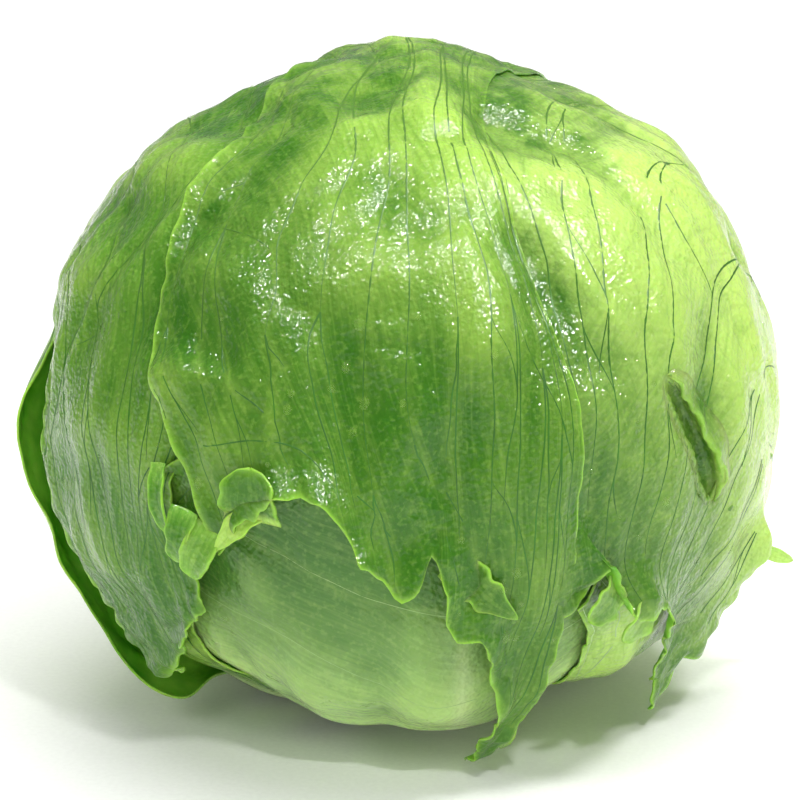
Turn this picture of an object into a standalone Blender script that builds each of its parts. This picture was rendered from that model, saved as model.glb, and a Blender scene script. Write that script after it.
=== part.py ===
"""Head of iceberg lettuce, standing on its cut stem. Metres, +Z up, origin at the centre of the cut face.

The head is a slightly flattened ball. A place on it is an azimuth and an elevation in degrees, seen from the
ball's centre: azimuth 0 is the front (-Y), 90 the right (+X), and elevation 90 is the crown. Every wrapper leaf
is one blade that starts at the stem and lies over the ball in its own layer, and its margins are lists of places
on the ball, each with the distance in millimetres by which the margin stands off.
"""

import math

import bmesh
import bpy
import numpy as np

MM = 0.001

# The ball: how wide and tall it is, and how high the leaves pass over the surface that the head stands on.
HEAD_CENTRE = np.array([0.0, 0.0, 63.0]) * MM
HEAD_RADIUS = 78.0 * MM
CROWN_RADIUS = 76.0 * MM
UNDERSIDE_HEIGHT = 3.2 * MM
UNDERSIDE_SHARPNESS = 11

# The stem, cut level, and the tight inner head.
STEM_RADIUS = 17.0 * MM
STEM_TOP_RADIUS = 14.5 * MM
STEM_HEIGHT = 15.0 * MM
STEM_SIDES = 32
HEART_DEPTH = 12.5 * MM
HEART_SEGMENTS = 36
HEART_RINGS = 18
HEART_FOLDS = 5
HEART_FOLD_STEP = 1.3 * MM

# Blades and the room that one needs over another.
BLADE = 0.8 * MM
LAYER = 1.9 * MM
LAYERS_PART_FROM = -66.0
LAYERS_PART_TO = -46.0
RIB_HEIGHT = 2.4 * MM
RIB_WIDTH_AT_FOOT = 7.0 * MM
RIB_WIDTH_AT_TIP = 2.0 * MM
FRILL_REACH = 6.0 * MM
ROW_CROWDING = 1.5
CURVE_STEPS = 24

# Hollows and swellings that all layers follow:
# azimuth, elevation, half width, half length and turn in degrees, then height in millimetres.
HEAD_RELIEF = (
    (-34, 24, 10, 7, 20, -2.6),
    (-36, 10, 9, 7, 10, 1.3),
    (-14, 14, 4, 14, 0, 1.3),
    (-8, 12, 5, 12, -12, -1.8),
    (4, 6, 5, 16, -4, -2.2),
    (12, 28, 6, 16, 10, 1.4),
    (23, 34, 4, 14, -20, -1.8),
    (40, 40, 10, 14, 0, 1.6),
    (42, 56, 4, 10, -35, -1.7),
    (72, 40, 10, 8, 0, 1.6),
    (80, 27, 8, 5, 0, -1.6),
    (-62, 46, 10, 6, 0, 1.6),
    (-70, 36, 10, 4, 0, -1.3),
    (-86, 66, 9, 7, 0, 1.5),
    (60, 8, 8, 16, 0, 1.0),
    (-60, 0, 9, 16, 10, 0.8),
    (120, 30, 12, 14, 0, 1.6),
    (150, 5, 8, 20, 8, -1.6),
    (-170, 40, 8, 18, 0, -1.5),
    (-145, 20, 10, 14, 0, 1.5),
    (-120, -10, 8, 16, 0, -1.3),
    (100, -10, 8, 14, 0, 1.2),
    (-92, 62, 30, 13, 0, -2.4),
    (92, 64, 30, 11, 0, -1.4),
    (90, 40, 22, 14, 0, 2.2),
    (180, 62, 24, 12, 0, -1.4),
    (88, -8, 20, 20, 0, 2.2),
)

# Each wrapper leaf, innermost first, seen from outside with its foot downwards. layer counts from the outermost.
# foot, left, tip and right are its margins as (azimuth, elevation, stand-off in mm). swells are like HEAD_RELIEF.
# frill is (height in mm, waves along the tip), and a flap is a stretch of tip folded out and back:
# (middle, half width) as shares of the tip's length, then its length and fold radius in mm.
# rib is (share of the full rib height, place between the left margin at 0 and the right margin at 1).
LEAVES = {
    "front_leaf": {
        "layer": 4,
        "grid": (16, 16),
        "foot": ((-7, -72, 0), (12, -73, 0), (31, -72, 0)),
        "left": ((-7, -72, 0), (-20, -60, 0), (-38, -49, 0), (-52, -36, 0), (-54, -18, 0), (-48, 0, 0), (-38, 12, 0)),
        "tip": ((-38, 12, 0), (-25, 22, 0), (-5, 28, 0), (15, 26, 0), (30, 18, 0), (40, 6, 0)),
        "right": ((31, -72, 0), (38, -60, 0), (45, -46, 0), (48, -28, 0), (46, -10, 0), (40, 6, 0)),
        "bared": (0, -50, 22, 26, 0, 0.9),
        "swells": ((14, -40, 7, 16, -12, 1.4),),
        "reach": 10,
        "frill": (0.0, 3),
        "flaps": (),
        "rib": (1.0, 0.63),
    },
    "tucked_leaf": {
        "layer": 3,
        "grid": (13, 13),
        "foot": ((-66, -72, 0), (-52, -73, 0), (-38, -72, 0)),
        "left": ((-66, -72, 0), (-70, -60, 0), (-84, -47, 0), (-98, -30, 0), (-102, -8, 0), (-92, 14, 0)),
        "tip": ((-92, 14, 0), (-74, 15, 0), (-58, 11, 0), (-46, 5, 0), (-39, 1, 1.5), (-34, 3, 2.0), (-29, -1, 2.0), (-28, -9, 1.5)),
        "right": ((-38, -72, 0), (-40, -58, 0), (-43, -44, 0), (-43, -30, 0), (-37, -18, 0), (-28, -9, 1.5)),
        "swells": (),
        "reach": 9,
        "frill": (1.0, 3),
        "flaps": (),
        "rib": (0.7, 0.5),
    },
    "right_low_leaf": {
        "layer": 2,
        "grid": (13, 13),
        "foot": ((51, -72, 0), (67, -73, 0), (83, -72, 0)),
        "left": ((51, -72, 0), (43, -58, 0), (38, -45, 0), (36, -34, 0), (31, -24, 0.5)),
        "tip": ((31, -24, 0.5), (37, -19, 0.5), (45, -14, 0), (54, -11, 0), (66, -8, 0), (82, -6, 0)),
        "right": ((83, -72, 0), (94, -56, 0), (104, -38, 0), (104, -20, 0), (82, -6, 0)),
        "swells": (),
        "reach": 9,
        "frill": (0.6, 3),
        "flaps": (),
        "rib": (0.8, 0.5),
    },
    "left_outer_leaf": {
        "layer": 2,
        "grid": (16, 16),
        "foot": ((-107, -72, 0), (-92, -73, 0), (-77, -72, 0)),
        "left": ((-107, -72, 0), (-110, -58, 0), (-126, -42, 0), (-138, -20, 0), (-140, 0, 0), (-130, 22, 0)),
        "tip": ((-130, 22, 0), (-118, 30, 0), (-104, 30, 0), (-90, 20, 0)),
        "right": (
            (-77, -72, 0), (-76, -62, 0), (-68, -53, 2), (-59, -47, 7), (-64, -40, 7.5), (-73, -30, 5.5),
            (-79, -19, 4.5), (-83, -8, 6), (-85, 0, 5.5), (-86, 7, 2.5), (-88, 14, 0), (-90, 20, 0),
        ),
        "swells": (),
        "reach": 15,
        "frill": (0.0, 3),
        "flaps": (),
        "rib": (1.0, 0.5),
    },
    "left_leaf": {
        "layer": 1,
        "grid": (16, 26),
        "foot": ((-148, -72, 0), (-133, -73, 0), (-119, -72, 0)),
        "left": (
            (-148, -72, 0), (-152, -45, 0), (-156, -15, 0), (-158, 15, 0), (-160, 45, 0), (-155, 72, 0),
            (-50, 77, 0), (-26, 58, 0), (-24, 36, 0), (-29, 16, 0), (-36, 0, 0), (-36, -10, 0), (-33, -19, 0.5),
        ),
        "tip": ((-33, -19, 0.5), (-37, -25, 0.5), (-43, -32, 0), (-50, -38, 0.5), (-57, -41, 0.5)),
        "right": (
            (-119, -72, 0), (-117, -56, 0), (-113, -34, 0), (-108, -10, 0), (-100, 9, 0), (-88, 17, 0),
            (-79, 10, 0), (-75, 0, 0.6), (-72, -10, 1), (-69, -20, 1.2), (-64, -31, 1.2), (-57, -41, 0.5),
        ),
        "swells": (),
        "reach": 9,
        "frill": (0.4, 3),
        "flaps": (),
        "rib": (1.0, 0.5),
    },
    "right_leaf": {
        "layer": 1,
        "grid": (26, 26),
        "foot": ((104, -72, 0), (121, -73, 0), (139, -72, 0)),
        "left": (
            (104, -72, 0), (102, -58, 0), (99, -44, 0), (94, -34, 0), (87, -27, 0), (81, -24, 1), (77, -20, 4.5),
            (75, -26, 3.5), (72, -31, 3.5), (68, -36, 5), (63, -38, 4), (59, -45, 8),
        ),
        "tip": (
            (59, -45, 8), (54, -37, 2.5), (50, -30, 1), (46, -25, 1), (43, -22, 2), (40, -20, 2.5), (37, -20, 2.5),
            (33, -18, 2), (29, -18, 1), (23, -21, 0),
        ),
        "right": (
            (139, -72, 0), (148, -45, 0), (153, -15, 0), (154, 15, 0), (152, 45, 0), (140, 72, 0), (-20, 82, 0),
            (0, 64, 0), (6, 46, 0), (11, 30, 0), (14, 15, 0), (15, 0, 0), (17, -12, 0), (23, -21, 0),
        ),
        "swells": ((62, 10, 26, 40, 0, 0.8),),
        "reach": 8,
        "frill": (0.5, 5),
        "flaps": (),
        "rib": (1.0, 0.5),
    },
    "crown_leaf": {
        "layer": 0,
        "grid": (34, 34),
        "foot": ((163, -72, 0), (180, -73, 0), (197, -72, 0)),
        "left": (
            (163, -72, 0), (151, -45, 0), (144, -15, 0), (142, 15, 0), (139, 42, 0), (122, 64, 0), (70, 74, 0),
            (34, 67, 0), (23, 55, 0), (21, 43, 0), (23, 28, 0), (26, 12, 0), (26, -2, 0), (25, -13, 0), (24, -25, 1),
            (22, -36, 3), (18, -44, 5), (13, -49, 6),
        ),
        "tip": (
            (13, -49, 6), (14, -41, 5), (15, -34, 3), (13, -27, 2), (11.5, -21, 2), (7, -20, 1.5), (5.5, -14, 1),
            (4, -8, 0), (2, -12, 1), (-1, -14, 1), (-5, -9, 1), (-9, -2, 1), (-13, 1, 1), (-18, 0, 1),
            (-22, -3, 1), (-27, -9, 0.5),
        ),
        "right": (
            (197, -72, 0), (208, -45, 0), (214, -15, 0), (216, 15, 0), (217, 42, 0), (221, 64, 0), (255, 75, 0),
            (294, 66, 0), (311, 54, 0), (312, 42, 0), (315, 28, 0), (318, 17, 0), (323, 9, 0), (328, 1, 0), (333, -9, 0.5),
        ),
        "swells": (),
        "reach": 9,
        "frill": (0.5, 5),
        "flaps": ((0.9, 0.08, 9.5, 2.2),),
        "rib": (1.0, 0.5),
    },
}

LEAF_COLOURS = {
    "front_leaf": (0.40, 0.58, 0.24, 1.0),
    "tucked_leaf": (0.16, 0.36, 0.06, 1.0),
    "right_low_leaf": (0.26, 0.47, 0.12, 1.0),
    "left_outer_leaf": (0.15, 0.36, 0.05, 1.0),
    "left_leaf": (0.16, 0.36, 0.07, 1.0),
    "right_leaf": (0.33, 0.56, 0.15, 1.0),
    "crown_leaf": (0.15, 0.38, 0.04, 1.0),
}
HEART_COLOUR = (0.55, 0.70, 0.32, 1.0)
STEM_COLOUR = (0.72, 0.70, 0.48, 1.0)


def direction(azimuth, elevation):
    """Unit vector from the ball's centre to a place given in degrees."""
    a, e = np.radians(azimuth), np.radians(elevation)
    return np.stack([np.sin(a) * np.cos(e), -np.cos(a) * np.cos(e), np.sin(e)], axis=-1)


def smooth_step(x, low, high):
    """0 below low, 1 above high, and a smooth rise between them."""
    t = np.clip((x - low) / (high - low), 0, 1)
    return t * t * (3 - 2 * t)


def bump(d, azimuth, elevation, half_width, half_length, turn, high, power=1):
    """A smooth round rise at one place on the ball, flatter on top with a higher power."""
    middle, east = direction(azimuth, elevation), direction(azimuth + 90, 0)
    north = np.cross(east, middle)
    t = math.radians(turn)
    x, y = d @ east, d @ north
    across = (x * math.cos(t) + y * math.sin(t)) / math.radians(half_width)
    along = (y * math.cos(t) - x * math.sin(t)) / math.radians(half_length)
    return np.where(d @ middle > 0, high * np.exp(-((across**2 + along**2) ** power)), 0)


def relief(d, marks):
    """Height at directions d of the swellings and hollows in marks."""
    return sum((bump(d, *mark) * MM for mark in marks), np.zeros(d.shape[:-1]))


def ball_radius(d):
    """Distance from the centre to the ball's skin: an ellipsoid, rounded off above the resting surface."""
    rise = np.clip(d[..., 2], -1, 1)
    level = np.sqrt(1 - rise**2)
    tall = np.where(rise > 0, CROWN_RADIUS, HEAD_RADIUS)
    round_part = 1 / np.sqrt((level / HEAD_RADIUS) ** 2 + (rise / tall) ** 2)
    flat_part = (HEAD_CENTRE[2] - UNDERSIDE_HEIGHT) / np.maximum(-rise, 1e-3)
    n = UNDERSIDE_SHARPNESS
    return (round_part**-n + flat_part**-n) ** (-1 / n)


def smooth_path(points, shares):
    """Rows of (x, y, z, stand-off) at the given shares of a smooth path through a margin's points."""
    p = np.array([[*direction(a, e), lift * MM] for a, e, lift in points])
    p = np.vstack([2 * p[0] - p[1], p, 2 * p[-1] - p[-2]])
    t = np.linspace(0, 1, CURVE_STEPS, endpoint=False)[:, None]
    runs = [
        b + (c - a) * t / 2 + (2 * a - 5 * b + 4 * c - d) * t**2 / 2 + (3 * b - a - 3 * c + d) * t**3 / 2
        for a, b, c, d in zip(p, p[1:], p[2:], p[3:])
    ]
    dense = np.vstack(runs + [p[-2:-1]])
    steps = np.linalg.norm(np.diff(dense[:, :3], axis=0), axis=1)
    gone = np.concatenate([[0], np.cumsum(steps)]) / steps.sum()
    return np.column_stack([np.interp(shares, gone, column) for column in dense.T])


def reach_from(points, axis):
    """Distance along the grid, from its start and from its end, of every point in a grid of positions."""
    steps = np.linalg.norm(np.diff(points, axis=axis), axis=-1)
    pad = [(0, 0), (0, 0)]
    pad[axis] = (1, 0)
    gone = np.cumsum(np.pad(steps, pad), axis=axis)
    return gone, gone.take([-1], axis=axis) - gone


def fold_flaps(points, normals, to_tip, shares, flaps):
    """Folds stretches of the tip outwards and back over the blade."""
    for middle, half, length, radius in flaps:
        for column in np.flatnonzero(np.abs(shares - middle) < half):
            window = math.cos((shares[column] - middle) / half * math.pi / 2)
            flap = length * MM * math.sqrt(window)
            left = to_tip[:, column]
            folded = left < flap
            if not folded.any():
                continue
            crease = np.array([np.interp(-flap, -left, points[:, column, k]) for k in range(3)])
            before = np.array([np.interp(-flap - 2 * MM, -left, points[:, column, k]) for k in range(3)])
            onward = (crease - before) / np.linalg.norm(crease - before)
            out = normals[np.flatnonzero(folded)[0], column]
            out = out - onward * (out @ onward)
            out /= np.linalg.norm(out)
            past = flap - left[folded]
            r = radius * MM
            angle = np.minimum(past / r, math.radians(172))
            straight = np.maximum(past - r * math.radians(172), 0)
            forward = r * np.sin(angle) + straight * math.cos(math.radians(172))
            outward = r * (1 - np.cos(angle)) + straight * math.sin(math.radians(172))
            points[folded, column] = crease + forward[:, None] * onward + outward[:, None] * out
    return points


def leaf_grid(leaf):
    """Positions and thicknesses of a leaf's outer face, as rows from foot to tip of columns from left to right."""
    columns, rows = leaf["grid"]
    u = np.linspace(0, 1, columns + 1)
    v = 1 - (1 - np.linspace(0, 1, rows + 1)) ** ROW_CROWDING
    foot, tip = smooth_path(leaf["foot"], u), smooth_path(leaf["tip"], u)
    left, right = smooth_path(leaf["left"], v), smooth_path(leaf["right"], v)
    across, along = u[None, :, None], v[:, None, None]
    foot_bow = foot - (1 - u[:, None]) * foot[0] - u[:, None] * foot[-1]
    tip_bow = tip - (1 - u[:, None]) * tip[0] - u[:, None] * tip[-1]
    patch = (1 - across) * left[:, None] + across * right[:, None] + (1 - along) ** 2 * foot_bow + along**2 * tip_bow
    d = patch[..., :3] / np.linalg.norm(patch[..., :3], axis=-1, keepdims=True)

    elevation = np.degrees(np.arcsin(np.clip(d[..., 2], -1, 1)))
    depth = leaf["layer"] * LAYER * smooth_step(elevation, LAYERS_PART_FROM, LAYERS_PART_TO)
    if "bared" in leaf:
        depth = depth * (1 - bump(d, *leaf["bared"], power=2))
    radius = ball_radius(d) - depth + relief(d, HEAD_RELIEF) + relief(d, leaf["swells"])
    skin = radius[..., None] * d
    from_left, to_right = reach_from(skin, 1)
    from_foot, to_tip = reach_from(skin, 0)

    reach = leaf["reach"] * MM
    near_left, near_right = np.exp(-((from_left / reach) ** 2)), np.exp(-((to_right / reach) ** 2))
    near_tip = np.exp(-((to_tip / reach) ** 2))
    side_lift = left[:, 3:] * near_left + right[:, 3:] * near_right
    lift = side_lift + (tip[:, 3] - side_lift[-1]) * near_tip

    high, waves = leaf["frill"]
    swing = np.sin(2 * math.pi * waves * u) ** 2
    frill = high * MM * swing * np.exp(-((to_tip / FRILL_REACH) ** 2))

    width = RIB_WIDTH_AT_FOOT + (RIB_WIDTH_AT_TIP - RIB_WIDTH_AT_FOOT) * v[:, None]
    rib_share, rib_place = leaf["rib"]
    middle = rib_place * (from_left + to_right)
    rib = RIB_HEIGHT * rib_share * (1 - smooth_step(v, 0.05, 0.5))[:, None]
    rib = rib * np.exp(-(((from_left - middle) / width) ** 2))

    points = skin + (lift + frill + rib)[..., None] * d
    normals = d
    points = fold_flaps(points, normals, to_tip, u, leaf["flaps"])
    return points + HEAD_CENTRE, BLADE + rib


def new_object(name, bm, colour, collection):
    """A named object made from a bmesh, with a leaf-like material of its own."""
    mesh = bpy.data.meshes.new(name)
    bm.to_mesh(mesh)
    bm.free()
    obj = bpy.data.objects.new(name, mesh)
    material = bpy.data.materials.new(name)
    material.use_nodes = True
    shader = material.node_tree.nodes["Principled BSDF"]
    shader.inputs["Base Color"].default_value = colour
    shader.inputs["Roughness"].default_value = 0.35
    shader.inputs["Metallic"].default_value = 0.0
    mesh.materials.append(material)
    collection.objects.link(obj)
    return obj


def make_leaf(name, leaf, collection):
    """One wrapper leaf: a grid laid over the ball, split into triangles and given its thickness inwards."""
    points, thickness = leaf_grid(leaf)
    rows, columns = points.shape[:2]
    bm = bmesh.new()
    bmesh.ops.create_grid(bm, x_segments=columns - 1, y_segments=rows - 1, size=1)
    bm.verts.ensure_lookup_table()
    thick = np.empty(len(bm.verts))
    for vert in bm.verts:
        column = round((vert.co.x + 1) / 2 * (columns - 1))
        row = round((vert.co.y + 1) / 2 * (rows - 1))
        vert.co = points[row, column]
        thick[vert.index] = thickness[row, column]
    obj = new_object(name, bm, LEAF_COLOURS[name], collection)
    obj.data.shade_smooth()

    thickest = thick.max()
    group = obj.vertex_groups.new(name="thickness")
    for index, value in enumerate(thick):
        group.add([index], value / thickest, "REPLACE")
    triangles = obj.modifiers.new("triangles", "TRIANGULATE")
    triangles.quad_method = "FIXED"
    shell = obj.modifiers.new("blade", "SOLIDIFY")
    shell.thickness = thickest
    shell.offset = -1
    shell.vertex_group = group.name
    shell.use_quality_normals = True
    return obj


def make_heart(collection):
    """The tight inner head, with its folded leaves in relief as low steps that wind up to the crown."""
    bm = bmesh.new()
    bmesh.ops.create_uvsphere(bm, u_segments=HEART_SEGMENTS, v_segments=HEART_RINGS, radius=1)
    for vert in bm.verts:
        d = np.array(vert.co.normalized())
        azimuth = math.degrees(math.atan2(d[0], -d[1]))
        elevation = math.degrees(math.asin(max(-1, min(1, d[2]))))
        turn = (azimuth + 0.9 * elevation) / 360 * HEART_FOLDS % 1
        step = HEART_FOLD_STEP * (turn - 0.5) * math.cos(math.radians(elevation))
        radius = ball_radius(d) - HEART_DEPTH + relief(d, HEAD_RELIEF) + step
        vert.co = d * radius + HEAD_CENTRE
    return new_object("heart", bm, HEART_COLOUR, collection)


def make_stem(collection):
    """The short stem that every leaf grows from, cut level across its foot."""
    bm = bmesh.new()
    bmesh.ops.create_cone(
        bm, cap_ends=True, segments=STEM_SIDES, radius1=STEM_RADIUS, radius2=STEM_TOP_RADIUS, depth=STEM_HEIGHT
    )
    bmesh.ops.translate(bm, verts=bm.verts, vec=(0, 0, STEM_HEIGHT / 2))
    obj = new_object("cut_stem", bm, STEM_COLOUR, collection)
    edge = obj.modifiers.new("worn edge", "BEVEL")
    edge.width = 0.8 * MM
    edge.segments = 2
    edge.limit_method = "ANGLE"
    return obj


def main():
    for obj in list(bpy.data.objects):
        bpy.data.objects.remove(obj)
    collection = bpy.data.collections.new("iceberg lettuce")
    bpy.context.scene.collection.children.link(collection)
    make_stem(collection)
    make_heart(collection)
    for name, leaf in LEAVES.items():
        make_leaf(name, leaf, collection)


main()
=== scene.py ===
"""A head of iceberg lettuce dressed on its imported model.

Laid out as an add-on: one operator for each kind of piece and one for the stage. A place on the head is an azimuth
and an elevation in degrees, seen from the ball's centre: azimuth 0 is the front (-Y), 90 the right (+X), and
elevation 90 is the crown.
"""

import functools
import math

import bmesh
import bpy
import numpy as np
from bpy.props import FloatProperty, FloatVectorProperty, IntProperty, PointerProperty
from mathutils import Matrix, Vector
from mathutils.kdtree import KDTree


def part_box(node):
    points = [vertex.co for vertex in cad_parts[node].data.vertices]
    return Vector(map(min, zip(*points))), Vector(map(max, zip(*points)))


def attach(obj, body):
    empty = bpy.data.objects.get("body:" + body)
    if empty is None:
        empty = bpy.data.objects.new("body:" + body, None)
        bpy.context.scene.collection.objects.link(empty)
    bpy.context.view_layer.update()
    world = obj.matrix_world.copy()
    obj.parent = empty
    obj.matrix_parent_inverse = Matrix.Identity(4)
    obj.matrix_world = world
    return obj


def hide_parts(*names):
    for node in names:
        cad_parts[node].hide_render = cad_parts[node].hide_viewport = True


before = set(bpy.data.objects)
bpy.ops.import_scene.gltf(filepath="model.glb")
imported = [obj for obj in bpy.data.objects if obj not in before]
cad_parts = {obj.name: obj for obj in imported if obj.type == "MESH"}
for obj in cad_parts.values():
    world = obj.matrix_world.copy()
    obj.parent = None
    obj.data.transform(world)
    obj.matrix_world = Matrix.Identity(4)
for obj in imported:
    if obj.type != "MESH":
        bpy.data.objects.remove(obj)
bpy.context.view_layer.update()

bl_info = {
    "name": "Iceberg Lettuce",
    "version": (1, 0, 0),
    "blender": (4, 5, 0),
    "location": "3D View > Sidebar > Lettuce",
    "description": "Builds a head of iceberg lettuce leaf by leaf, with its veins, heart, stem and water drops",
    "category": "Add Mesh",
}

MM = 0.001
BODY = "root"

# The ball that the leaves lie over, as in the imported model.
HEAD_CENTRE = np.array([0.0, 0.0, 63.0]) * MM
HEAD_RADIUS = 78.0 * MM
CROWN_RADIUS = 76.0 * MM
UNDERSIDE_HEIGHT = 3.2 * MM
UNDERSIDE_SHARPNESS = 11
HEART_DEPTH = 12.5 * MM
HEART_FOLDS = 5
HEART_FOLD_STEP = 1.3 * MM
HEART_FOLD_SLANT = 0.9
HEART_SWELLING = 0.4 * MM
HEART_SWELLING_LENGTH = 14

# The cut stem narrows upwards, has a rounded rim and a scarred side with shallow flutes.
STEM_TAPER = 0.86
STEM_RIM = 0.8 * MM
STEM_FLUTES = 14

# Layers lie this far apart, but part only above the feet of the leaves.
LAYER = 1.9 * MM
LAYERS_PART_FROM = -66.0
LAYERS_PART_TO = -46.0
CURVE_STEPS = 24
FOOT_ELEVATIONS = (-72, -73, -72)

# A blade's grid is finer towards its sides and its tip.
CROWDED_SIDES = 0.8
CROWDED_TIP = 1.35

# Crumpling that all layers share: long soft ridges from crown to foot, and rounder blisters, as wavelength in
# millimetres, seed, pace up the head beside that across it, and height in millimetres. It dies out near the feet.
CRUMPLES = ((22, 3, 0.3, 0.6), (26, 5, 1.0, 0.6), (10, 7, 0.6, 0.34))
CALM_FROM = -0.92
CALM_TO = -0.6

# Midribs and side ribs stand out at the foot of a leaf and sink into it further up.
RIB_HEIGHT = 2.4 * MM
RIB_WIDTH_AT_FOOT = 7.0 * MM
RIB_WIDTH_AT_TIP = 2.0 * MM
SIDE_RIB_HEIGHT = 1.3 * MM
SIDE_RIB_WIDTH = 2.6 * MM

# Edges that lie on another leaf hug it; the tip's edge is frilled and ragged.
HUG = 1.15 * MM
HUG_REACH = 7.0 * MM
FOOT_REACH = 0.045
FOOT_GAP = 2.3 * MM
FRILL_REACH = 6.0 * MM

# Ruffles of the tip and of the whole edge, and a fine crinkle: wavelength, height and reach inwards in millimetres.
TIP_RUFFLE = (15, 1.5, 7.0)
EDGE_RUFFLE = (9, 0.6, 4.0)
EDGE_CRINKLE = (4.2, 0.32, 3.0)

# Ragged tips: (wavelength, depth) of the two kinds of tooth in millimetres, and how far in they are felt.
TEETH = ((8, 0.8), (3.5, 0.5))
TEETH_REACH = 3.0 * MM

# The blade swells between its veins, and its colour changes beside them and along its edge. Its hollows are
# darkened with painted shade and its crests lightened with painted light, in full at the depth and height below.
PUCKER = 0.45 * MM
PUCKER_REACH = 2.2 * MM
VEIN_BAND = 1.1 * MM
# The paler edge band is partly the margin's own colour and partly a painted highlight along its rim.
EDGE_BAND = 0.8 * MM
HOLLOW_SHADE_DEPTH = 1.5 * MM
CREST_LIGHT_HEIGHT = 1.6 * MM

# Hollows and swellings that all layers follow:
# azimuth, elevation, half width, half length and turn in degrees, then height in millimetres.
HEAD_RELIEF = (
    (-34, 24, 10, 7, 20, -2.6), (-36, 10, 9, 7, 10, 1.3), (-14, 14, 4, 14, 0, 1.3), (-8, 12, 5, 12, -12, -1.8),
    (4, 6, 5, 16, -4, -2.2), (12, 28, 6, 16, 10, 1.4), (23, 34, 4, 14, -20, -1.8), (40, 40, 10, 14, 0, 1.6),
    (42, 56, 4, 10, -35, -1.7), (72, 40, 10, 8, 0, 1.6), (80, 27, 8, 5, 0, -1.6), (-62, 46, 10, 6, 0, 1.6),
    (-70, 36, 10, 4, 0, -1.3), (-86, 66, 9, 7, 0, 1.5), (60, 8, 8, 16, 0, 1.0), (-60, 0, 9, 16, 10, 0.8),
    (120, 30, 12, 14, 0, 1.6), (150, 5, 8, 20, 8, -1.6), (-170, 40, 8, 18, 0, -1.5), (-145, 20, 10, 14, 0, 1.5),
    (-120, -10, 8, 16, 0, -1.3), (100, -10, 8, 14, 0, 1.2), (-92, 62, 30, 13, 0, -2.4), (92, 64, 30, 11, 0, -1.4),
    (90, 40, 22, 14, 0, 2.2), (180, 62, 24, 12, 0, -1.4), (88, -8, 20, 20, 0, 2.2),
)

# Small folds and creases of the blades, too fine for the solids, in the same form. Their heights, like those of
# HEAD_RELIEF and the crumpling, also set the painted shade in hollows and painted light on crests, and several are
# there chiefly for that painted light or shade.
SMALL_RELIEF = (
    (-33, 20, 8, 2.2, 8, -0.9), (-30, 16, 7, 1.6, 8, 0.7), (-19, 12, 1.4, 9, 0, 0.6), (-2, 22, 5, 1.0, 10, -0.7),
    (2, 12, 1.6, 10, -6, 0.8), (16, 34, 1.5, 12, -24, -0.9), (13, 55, 3, 1.6, 30, -0.8), (33, 54, 1.3, 8, -38, -0.8),
    (52, 50, 1.4, 7, -45, -0.7), (62, 38, 7, 1.5, 14, -0.8), (34, 25, 1.3, 9, -30, 0.6), (44, 20, 1.2, 8, -28, 0.6),
    (-50, 38, 1.5, 8, 24, 0.6), (-62, 22, 1.6, 12, 16, 0.7), (-40, 40, 2.0, 8, 20, -0.6), (0, 86, 30, 30, 0, -2.0),
    (6, 3, 7, 12, 0, -1.7), (19, 9, 4, 13, 0, -1.0), (28, -7, 3.5, 9, 0, -1.8), (-9, 13, 4, 8, 0, -0.8),
    (0, -8, 4, 5, 0, -0.9), (-3, 34, 7, 9, 0, 1.0), (-24, 28, 5, 8, 12, 1.0), (15, 46, 7, 10, 20, 1.0),
    (48, 28, 9, 9, 0, 1.0), (-36, 15, 6, 5, 0, 2.4), (-48, 50, 12, 8, 0, 1.2), (-6, 52, 12, 9, 0, 1.4),
    (-4, -40, 2.5, 9, 0, -1.3), (-15, -41, 5, 8, 0, 0.8), (-25, -41, 2.5, 8, 0, -1.0), (8, -42, 6, 8, 0, 0.8),
)
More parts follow.
